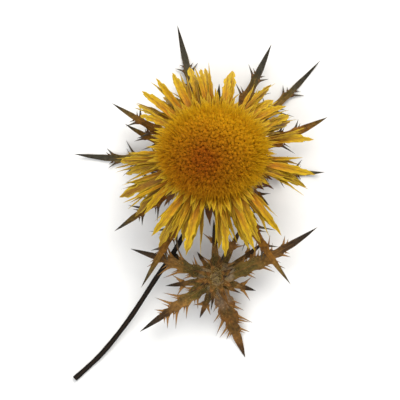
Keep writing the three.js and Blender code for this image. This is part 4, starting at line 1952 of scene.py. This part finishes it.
@dataclass
class Disc:
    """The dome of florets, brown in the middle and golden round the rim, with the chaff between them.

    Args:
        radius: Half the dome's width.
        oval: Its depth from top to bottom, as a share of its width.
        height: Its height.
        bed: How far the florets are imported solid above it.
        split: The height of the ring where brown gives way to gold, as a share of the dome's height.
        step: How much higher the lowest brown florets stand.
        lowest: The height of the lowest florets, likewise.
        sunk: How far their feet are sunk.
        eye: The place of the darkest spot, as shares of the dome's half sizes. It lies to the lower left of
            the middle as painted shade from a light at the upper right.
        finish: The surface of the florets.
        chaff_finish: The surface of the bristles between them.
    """

    radius: float = 11.0
    oval: float = 0.82
    height: float = 6.8
    bed: float = 1.9
    split: float = 0.58
    step: float = 0.03
    lowest: float = 0.1
    sunk: float = 0.2
    # The brown middle is the florets' own colour. This shift of it to the lower left is painted shade.
    eye: Point = (-0.24, -0.38, 0.0)
    finish: FloretFinish = FloretFinish("floret", 0.8, 0.15)
    chaff_finish: FloretFinish = FloretFinish(
        "chaff",
        0.7,
        0.2,
        inner=((0.0, Dye.RUSSET), (0.6, Dye.BRONZE), (1.0, Dye.AMBER)),
        outer=((0.0, Dye.AMBER), (0.6, Dye.GOLD), (1.0, Dye.STRAW)),
        turn=(0.2, 1.05),
    )

    @property
    def size(self) -> Point:
        """Returns the half sizes of the dome along X, Y and Z."""
        return (self.radius, self.radius * self.oval, self.height)

    @staticmethod
    def floret() -> Mesh:
        """Makes a floret one unit tall: a slim tube that opens in five lobes round a style.

        Returns:
            The mesh.
        """
        sides = 10
        angles = np.arange(sides) * 2 * np.pi / sides
        lobe = 1.0 - np.arange(sides) % 2
        sections = (
            # radius and height, and how much further out and up a lobe goes
            (0.2, 0.3, 0.0, 0.0),
            (0.33, 0.76, 0.0, 0.0),
            (0.42, 0.86, 0.34, 0.1),
            (0.14, 0.82, 0.0, 0.0),
            (0.06, 1.06, 0.0, 0.0),
        )
        rings = []
        for radius, height, out, up in sections:
            flat = radius + out * lobe
            rings.append(np.column_stack([flat * np.cos(angles), flat * np.sin(angles), height + up * lobe]))
        rings = np.array(rings)
        return closed_rings("floret", rings, {"along": rings[:, :, 2].clip(0, 1)})

    @staticmethod
    def bristle() -> Mesh:
        """Makes a bristle one unit tall.

        Returns:
            The mesh.
        """
        sections = ((0.0, 0.13), (0.55, 0.11), (0.85, 0.07), (1.0, 0.01))
        rings = turned_rings([(r, z) for z, r in sections], 3)
        rings[:, :, 0] += 0.12 * rings[:, :, 2] ** 2
        return closed_rings("bristle", rings, {"along": rings[:, :, 2]})

    def core(self, name: str, low: float, high: float, finish: Material) -> Object:
        """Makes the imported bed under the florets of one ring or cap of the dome.

        Args:
            name: The piece's name.
            low: The height of its lower edge, as a share of the dome's height.
            high: The height of its upper edge, likewise.
            finish: Its material.

        Returns:
            The piece.
        """
        sides, steps, short = 64, 14, 0.02
        latitudes = np.linspace(math.asin(low), math.asin(high) - short, steps)
        profile = [(math.cos(a), math.sin(a)) for a in latitudes]
        inner = profile[-1][0] * 0.98 if high < 1 else 0.00098
        rings = turned_rings([(inner, low * 0.5), *profile], sides) * (np.array(self.size) + self.bed)
        # The rim share is measured from the eye, which is set off to the lower left as painted shade.
        off = (rings / self.size - self.eye)[:, :, :2]
        rim = np.hypot(off[:, :, 0], off[:, :, 1])
        # The bed takes the colour that the florets have at 0.6 of their height: painted bounced light in the
        # gaps between them.
        values = {"along": np.full(rim.shape, 0.6), "rim": rim, "tint": np.full(rim.shape, 0.5)}
        return dressed(name, closed_rings(name, rings, values), HEAD, finish)

    def plant(
        self, planter: DomePlanter, name: str, shape: Mesh, finish: Material, **values: float
    ) -> Object:
        """Plants copies of a shape on the dome.

        Args:
            planter: The tree that plants them.
            name: The piece's name.
            shape: The shape.
            finish: Its material.
            values: The tree's inputs that aren't shared by the whole dome.

        Returns:
            The piece.
        """
        pattern = shown(f"{name}_shape", shape)
        given = {key.capitalize(): value for key, value in values.items()}
        given.update(Size=self.size, Eye=self.eye, Sunk=self.sunk, Shape=pattern, Material=finish)
        piece = planter.run(name, bpy.data.meshes.new(name), given, HEAD)
        bpy.data.objects.remove(pattern)
        return piece

    def build(self, planter: DomePlanter) -> dict[str, list[Object]]:
        """Makes the disc.

        Args:
            planter: The tree that plants florets and bristles.

        Returns:
            Its pieces by the node that they stand for.
        """
        floret, chaff = self.finish.material(), self.chaff_finish.material()
        middle = {"lowest": self.split + self.step, "highest": 1.0}
        rim = {"lowest": self.lowest, "highest": self.split}
        return {
            "disc_florets": [
                self.core("disc_core", self.split, 1.0, floret),
                self.plant(
                    planter, "disc_florets_open", self.floret(), floret, **middle,
                    count=1080, phase=0.0, lean=0.16, length=3.2, spread=0.4, girth=0.66,
                ),
                self.plant(
                    planter, "disc_chaff", self.bristle(), chaff, **middle,
                    count=4200, phase=1.1, lean=0.3, length=3.3, spread=0.6, girth=0.8,
                ),
            ],
            "rim_florets": [
                self.core("rim_core", 0.02, self.split, floret),
                self.plant(
                    planter, "rim_florets_open", self.floret(), floret, **rim,
                    count=1080, phase=0.4, lean=0.18, length=3.1, spread=0.45, girth=0.66,
                ),
                self.plant(
                    planter, "rim_chaff", self.bristle(), chaff, **rim,
                    count=6400, phase=2.3, lean=0.46, length=3.8, spread=1.9, girth=0.64,
                ),
            ],
        }


# ---------------------------------------------------------------- the stem and its side shoot


@dataclass(frozen=True)
class SmoothLine:
    """A smooth line through points, in the way of a centripetal Catmull-Rom curve.

    Args:
        points: The points.
    """

    points: tuple[Point, ...]

    def at(self, share: float) -> Vector:
        """Finds a point of the line.

        Args:
            share: Its share of the way, by the points' own count.

        Returns:
            The point.
        """
        pts = [Vector(p) for p in self.points]
        last = len(pts) - 1
        place = min(share * last, last - 1e-9)
        k = int(place)
        before = pts[k - 1] if k > 0 else pts[0] * 2 - pts[1]
        after = pts[k + 2] if k + 2 <= last else pts[last] * 2 - pts[last - 1]
        a, b = pts[k], pts[k + 1]
        gaps = [max((q - p).length_squared ** 0.25, 1e-4) for p, q in ((before, a), (a, b), (b, after))]
        start = (a - before) / gaps[0] - (b - before) / (gaps[0] + gaps[1]) + (b - a) / gaps[1]
        end = (b - a) / gaps[1] - (after - a) / (gaps[1] + gaps[2]) + (after - b) / gaps[2]
        start, end = start * gaps[1], end * gaps[1]
        u = place - k
        curve = a + start * u + (-3 * a + 3 * b - 2 * start - end) * u**2
        return curve + (2 * a - 2 * b + start + end) * u**3


@dataclass
class Stem:
    """The thin dark stem from the cup to its cut, and the twig that carries the side shoot.

    Args:
        line: The stem's middle line.
        twig: The twig's middle line.
        neck: The stem's radius at the cup.
        neck_length: How far from there it is swollen.
        top: Its radius below that.
        cut: Its radius at the cut.
        twig_root: The twig's radius at the stem.
        twig_end: The twig's radius at the side shoot.
        ribs: How many lengthwise ribs both have.
        rib_depth: How high those stand, as a share of the radius.
        finish: The surface of both.
    """

    line: SmoothLine = SmoothLine(
        (
            (6.2, 10.8, 10.6),
            (6.2, 10.43, 7.94),
            (5.5, 8.4, 6.6),
            (3.6, 3.6, 6.1),
            (-2.4, -9.4, 5.7),
            (-9.2, -19.8, 4.7),
            (-16.4, -30.6, 3.0),
            (-23.2, -39.0, 1.1),
            (-26.9, -42.6, 0.55),
            (-30.6, -45.9, 0.55),
        )
    )
    twig: SmoothLine = SmoothLine(
        ((-4.3, -12.6, 5.5), (-0.4, -16.4, 4.9), (4.6, -19.1, 5.0), (6.9, -19.8, 6.9), (7.0, -19.8, 8.8))
    )
    neck: float = 1.5
    neck_length: float = 4.0
    top: float = 0.6
    cut: float = 0.68
    twig_root: float = 0.54
    twig_end: float = 0.62
    ribs: float = 5.0
    rib_depth: float = 0.07
    finish: StalkFinish = StalkFinish("stalk", 0.6, 0.14)

    def stalk(
        self, drawer: StemDrawer, name: str, line: SmoothLine, radii: Sequence[float], skin: Material
    ) -> Object:
        """Draws one stalk.

        Args:
            drawer: The tree that draws it.
            name: The piece's name.
            line: Its middle line.
            radii: Its radius at each of the line's steps.
            skin: Its material.

        Returns:
            The piece.
        """
        steps = len(radii)
        points = [line.at(k / (steps - 1)) for k in range(steps)]
        mesh = bpy.data.meshes.new(name)
        mesh.from_pydata([tuple(p) for p in points], [(k, k + 1) for k in range(steps - 1)], [])
        keep_numbers(mesh, {"thickness": radii})
        given = {"Ribs": self.ribs, "Rib depth": self.rib_depth, "Material": skin}
        return drawer.run(name, mesh, given, GROUND)

    def build(self, drawer: StemDrawer) -> list[Object]:
        """Makes the stem and the twig.

        Args:
            drawer: The tree that draws them.

        Returns:
            The two pieces.
        """
        steps, twig_steps = 90, 30
        skin = self.finish.material()
        points = [self.line.at(share) for share in np.linspace(0, 1, steps)]
        walked = np.cumsum([0.0] + [(b - a).length for a, b in zip(points, points[1:])])
        neck = np.clip(1 - walked / self.neck_length, 0, 1) ** 2
        radii = self.top + (self.cut - self.top) * walked / walked[-1] + (self.neck - self.top) * neck
        radii *= 1 + 0.04 * np.sin(walked * 0.55) + 0.03 * np.sin(walked * 1.7 + 1)
        twig_radii = np.linspace(self.twig_root, self.twig_end, twig_steps)
        stalk = self.stalk(drawer, "stem_stalk", self.line, radii, skin)
        twig = self.stalk(drawer, "stem_twig", self.twig, twig_radii, skin)
        return [stalk, twig]


YOUNG_LEAVES = FineRing(
    count=9,
    group=91,
    root=0.7,
    reach=(7.2, 1.6),
    height=(0.7, 0.1),
    slope=(1.6, 1.0),
    bend=(-1.6, 0.8),
    width=(1.5, 0.3),
    tint=(0.5, 0.5),
    swing=0.9,
    twist=0.5,
    fold=0.35,
    kind=11,
)


@dataclass
class LeafyShoot:
    """The tuft of thorny leaves at the end of the side twig.

    Args:
        root: The radius of the leaves' roots.
        height: The height of their roots.
        thickness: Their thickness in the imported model.
        fold: How steeply their two halves rise from the middle line.
        knob: The radius and height of each turn of the knob that they grow from.
        leaves: The leaves, one by one.
        young: The rings of young leaves in the middle.
        finish: The surface of the leaves and the knob.
        thorn_finish: The surface of the thorns.
        wool_finish: The surface of the hairs.
    """

    root: float = 0.6
    height: float = 0.2
    thickness: float = 0.8
    fold: float = 0.2
    knob: Stations = (
        (0.01, -1.6), (0.95, -1.55), (1.5, -1.1), (1.9, -0.5),
        (1.8, 0.4), (1.4, 1.1), (0.7, 1.6), (0.01, 1.75),
    )
    leaves: tuple[tuple[float, ...], ...] = (
        # direction, radius of the tip, width, depth or 0 where it rests, belly, swing, thorns, share of brown
        (19, 30, 4.4, 2.5, 0.6, 4.4, 4, 0.25),
        (38, 17, 2.8, 4.2, 0.8, 0.0, 2, 0.1),
        (64, 16, 3.0, 1.6, 0.8, 0.0, 2, 0.5),
        (92, 16, 2.8, 1.4, 0.8, 0.0, 2, 0.1),
        (124, 9, 2.6, 2.2, 0.9, 0.0, 1, 0.4),
        (157, 24, 3.8, 1.6, 0.5, 1.4, 4, 0.3),
        (187, 13.5, 2.8, 2.6, 0.8, 0.0, 2, 0.2),
        (213, 24.5, 3.8, 3.4, 0.8, 0.6, 4, 0.15),
        (247, 11, 3.0, 5.0, 0.9, 0.0, 2, 0.6),
        (291, 22, 5.4, 0.0, 0.94, 0.0, 5, 0.8),
        (345, 11, 3.0, 4.0, 0.9, 0.0, 2, 0.3),
    )
    young: tuple[FineRing, ...] = (
        YOUNG_LEAVES,
        replace(YOUNG_LEAVES, group=131, reach=(4.6, 1.6), height=(1.4, 0.1), slope=(3.0, 1.0)),
    )
    finish: LeafyFinish = LeafyFinish(
        "shoot_leaf",
        0.68,
        0.2,
        stops=(
            (0.0, Dye.ASH),
            (0.06, Dye.OLIVE),
            (0.26, Dye.OLIVE),
            (0.42, Dye.TAN),
            (0.58, Dye.UMBER),
            (0.82, Dye.SOOT),
        ),
        warmth=Dye.RUST,
    )
    thorn_finish: ThornFinish = ThornFinish(
        "shoot_thorn", 0.55, 0.3, stops=((0.0, Dye.OCHRE), (0.3, Dye.TAN), (0.7, Dye.TAN), (1.0, Dye.UMBER))
    )
    wool_finish: WoolFinish = WoolFinish("shoot_wool", 0.8, 0.1)

    def blades(self) -> list[Blade]:
        """Places the leaves as the model has them. One with no depth rests on the surface.

        Returns:
            The leaves.
        """
        made = []
        for i, (around, reach, width, drop, belly, swing, _, brown) in enumerate(self.leaves):
            blade = Blade(
                around=around,
                root=self.root,
                reach=reach,
                height=self.height,
                width=width,
                fold=self.fold,
                swing=swing,
                kind=i,
                tint=brown,
            )
            if drop:
                made.append(blade.sagging(drop, belly))
            else:
                made.append(blade.resting(belly, self.thickness, SHOOT))
        return made

    def build(self, bender: BladeBender, setter: NeedleSetter) -> list[Object]:
        """Makes the leaves, their thorns and wool, and the knob that they grow from.

        Args:
            bender: The tree that bends leaves.
            setter: The tree that sets thorns and hairs.

        Returns:
            The pieces.
        """
        grown = self.blades()
        patterns, thorns = thorny(grown, [int(leaf[6]) for leaf in self.leaves], 42)
        slim = ((0, 0.7), (0.3, 1), (0.55, 0.7), (0.75, 0.3), (1, 0))
        thin = ((0, 0.4), (0.8, 0.2), (1, 0.02))
        patterns.append(Pattern(slim, thin, rows=16, columns=6, cupping=0.15, ripple=0.08, seed=9))
        blades = [*grown, *(blade for ring in self.young for blade in ring.blades())]
        skin = self.finish.material()
        leaves = bender.blades("leafy_shoot_leaves", blades, patterns, skin, SHOOT)
        hard = self.thorn_finish.material()
        spines = setter.needles("leafy_shoot_thorns", thorns, thorn(), hard, SHOOT)
        knob = turned_piece("leafy_shoot_knob", self.knob, 28, SHOOT, skin, along=0.02, tint=0.3)
        down = self.wool_finish.material()
        hairs = Wool(each=46, last=0.5, length=1.5, group=121).on(blades)
        wool = setter.needles("leafy_shoot_wool", hairs, hair(), down, SHOOT)
        return [leaves, spines, knob, wool]


# ---------------------------------------------------------------- the studio


@dataclass(frozen=True)
class Lamp:
    """A soft square light that points at the piece.

    Args:
        name: The light's name.
        place: Where it hangs, in metres.
        size: The side of its square, in metres.
        power: Its power in watts.
        warmth: Its colour.
    """

    name: str
    place: Point
    size: float
    power: float
    warmth: Colour


@dataclass
class Studio:
    """A pale floor, soft lights and the camera that looks down on the piece.

    Args:
        azimuth: Where the camera looks from: degrees clockwise from -Y.
        elevation: How high it looks from, in degrees.
        lens: Its focal length in millimetres.
        fill: The share of the picture's height that the piece fills.
        aim: The point that it looks at, in millimetres.
        floor_half: Half the floor's side, in metres.
        daylight: The strength of the light from all round.
        lamps: The lights.
    """

    azimuth: float = 0.0
    elevation: float = 86.0
    lens: float = 240.0
    fill: float = 0.9
    aim: Point = (0.0, 0.0, 8.0)
    floor_half: float = 3.0
    daylight: float = 0.66
    lamps: tuple[Lamp, ...] = (
        Lamp("key", (0.25, 0.7, 0.85), 0.7, 9.5, (255, 250, 242)),
        Lamp("fill", (-0.5, -0.5, 0.8), 1.2, 5.0, (246, 250, 255)),
    )

    def floor(self) -> Object:
        """Makes the floor.

        Returns:
            The floor.
        """
        half = self.floor_half
        mesh = bpy.data.meshes.new("floor")
        corners = [(-half, -half, 0), (half, -half, 0), (half, half, 0), (-half, half, 0)]
        mesh.from_pydata(corners, [], [(0, 1, 2, 3)])
        mesh.materials.append(FloorFinish("pale_floor", 0.9, 0.1).material())
        return shown("floor", mesh)

    def camera(self) -> Object:
        """Adds the camera, set as the scene's own.

        Returns:
            The camera.
        """
        data = bpy.data.cameras.new("camera")
        data.lens = self.lens
        data.clip_start = 0.01
        camera = shown("camera", data)
        azimuth, elevation = math.radians(self.azimuth), math.radians(self.elevation)
        level = Vector((-math.sin(azimuth), -math.cos(azimuth), 0)) * math.cos(elevation)
        away = level + Vector((0, 0, math.sin(elevation)))
        low, high = cad_box
        tall = (high[1] - low[1]) * math.sin(elevation)
        distance = tall / self.fill / 2 / math.tan(data.angle / 2)
        target = Vector(self.aim) * MM
        camera.location = target + away * distance
        camera.rotation_euler = (target - camera.location).to_track_quat("-Z", "Y").to_euler()
        bpy.context.scene.camera = camera
        return camera

    def light(self, lamp: Lamp) -> None:
        """Adds a light.

        Args:
            lamp: The light.
        """
        data = bpy.data.lights.new(lamp.name, "AREA")
        data.size = lamp.size
        data.energy = lamp.power
        data.color = linear(lamp.warmth)[:3]
        hung = shown(lamp.name, data)
        hung.location = lamp.place
        hung.rotation_euler = (-Vector(lamp.place)).to_track_quat("-Z", "Y").to_euler()

    def build(self) -> None:
        """Sets up the whole studio."""
        scene = bpy.context.scene
        scene.view_settings.view_transform = "Standard"
        world = bpy.data.worlds.new("soft_room")
        world.use_nodes = True
        background = world.node_tree.nodes["Background"]
        background.inputs["Color"].default_value = (1.0, 1.0, 1.0, 1.0)
        background.inputs["Strength"].default_value = self.daylight
        scene.world = world
        for lamp in self.lamps:
            self.light(lamp)
        self.floor()
        self.camera()


def dress(pieces: Iterable[Object], node: str) -> None:
    """Makes pieces ride on the model and stand for one of its nodes.

    Args:
        pieces: The pieces.
        node: The node of the model that they stand for, which is hidden.
    """
    for piece in pieces:
        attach(piece, "root")
        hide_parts(node)
        triangles = sum(len(p.vertices) - 2 for p in piece.data.polygons)
        log.info("%s stands for %s with %d triangles", piece.name, node, triangles)


def main() -> None:
    """Builds the studio and every piece, in order."""
    logging.basicConfig(level=logging.INFO, format="%(name)s: %(message)s")
    Studio().build()
    bender, setter = BladeBender(), NeedleSetter()
    for node, pieces in Disc().build(DomePlanter()).items():
        dress(pieces, node)
    dress(RayBracts().build(bender), "ray_bracts")
    dress([MiddleBracts().build(bender)], "middle_bracts")
    dress(OuterBracts().build(bender, setter), "outer_bracts")
    dress(LeafyShoot().build(bender, setter), "leafy_shoot")
    dress(Stem().build(StemDrawer()), "stem")


if __name__ == "__main__":
    main()
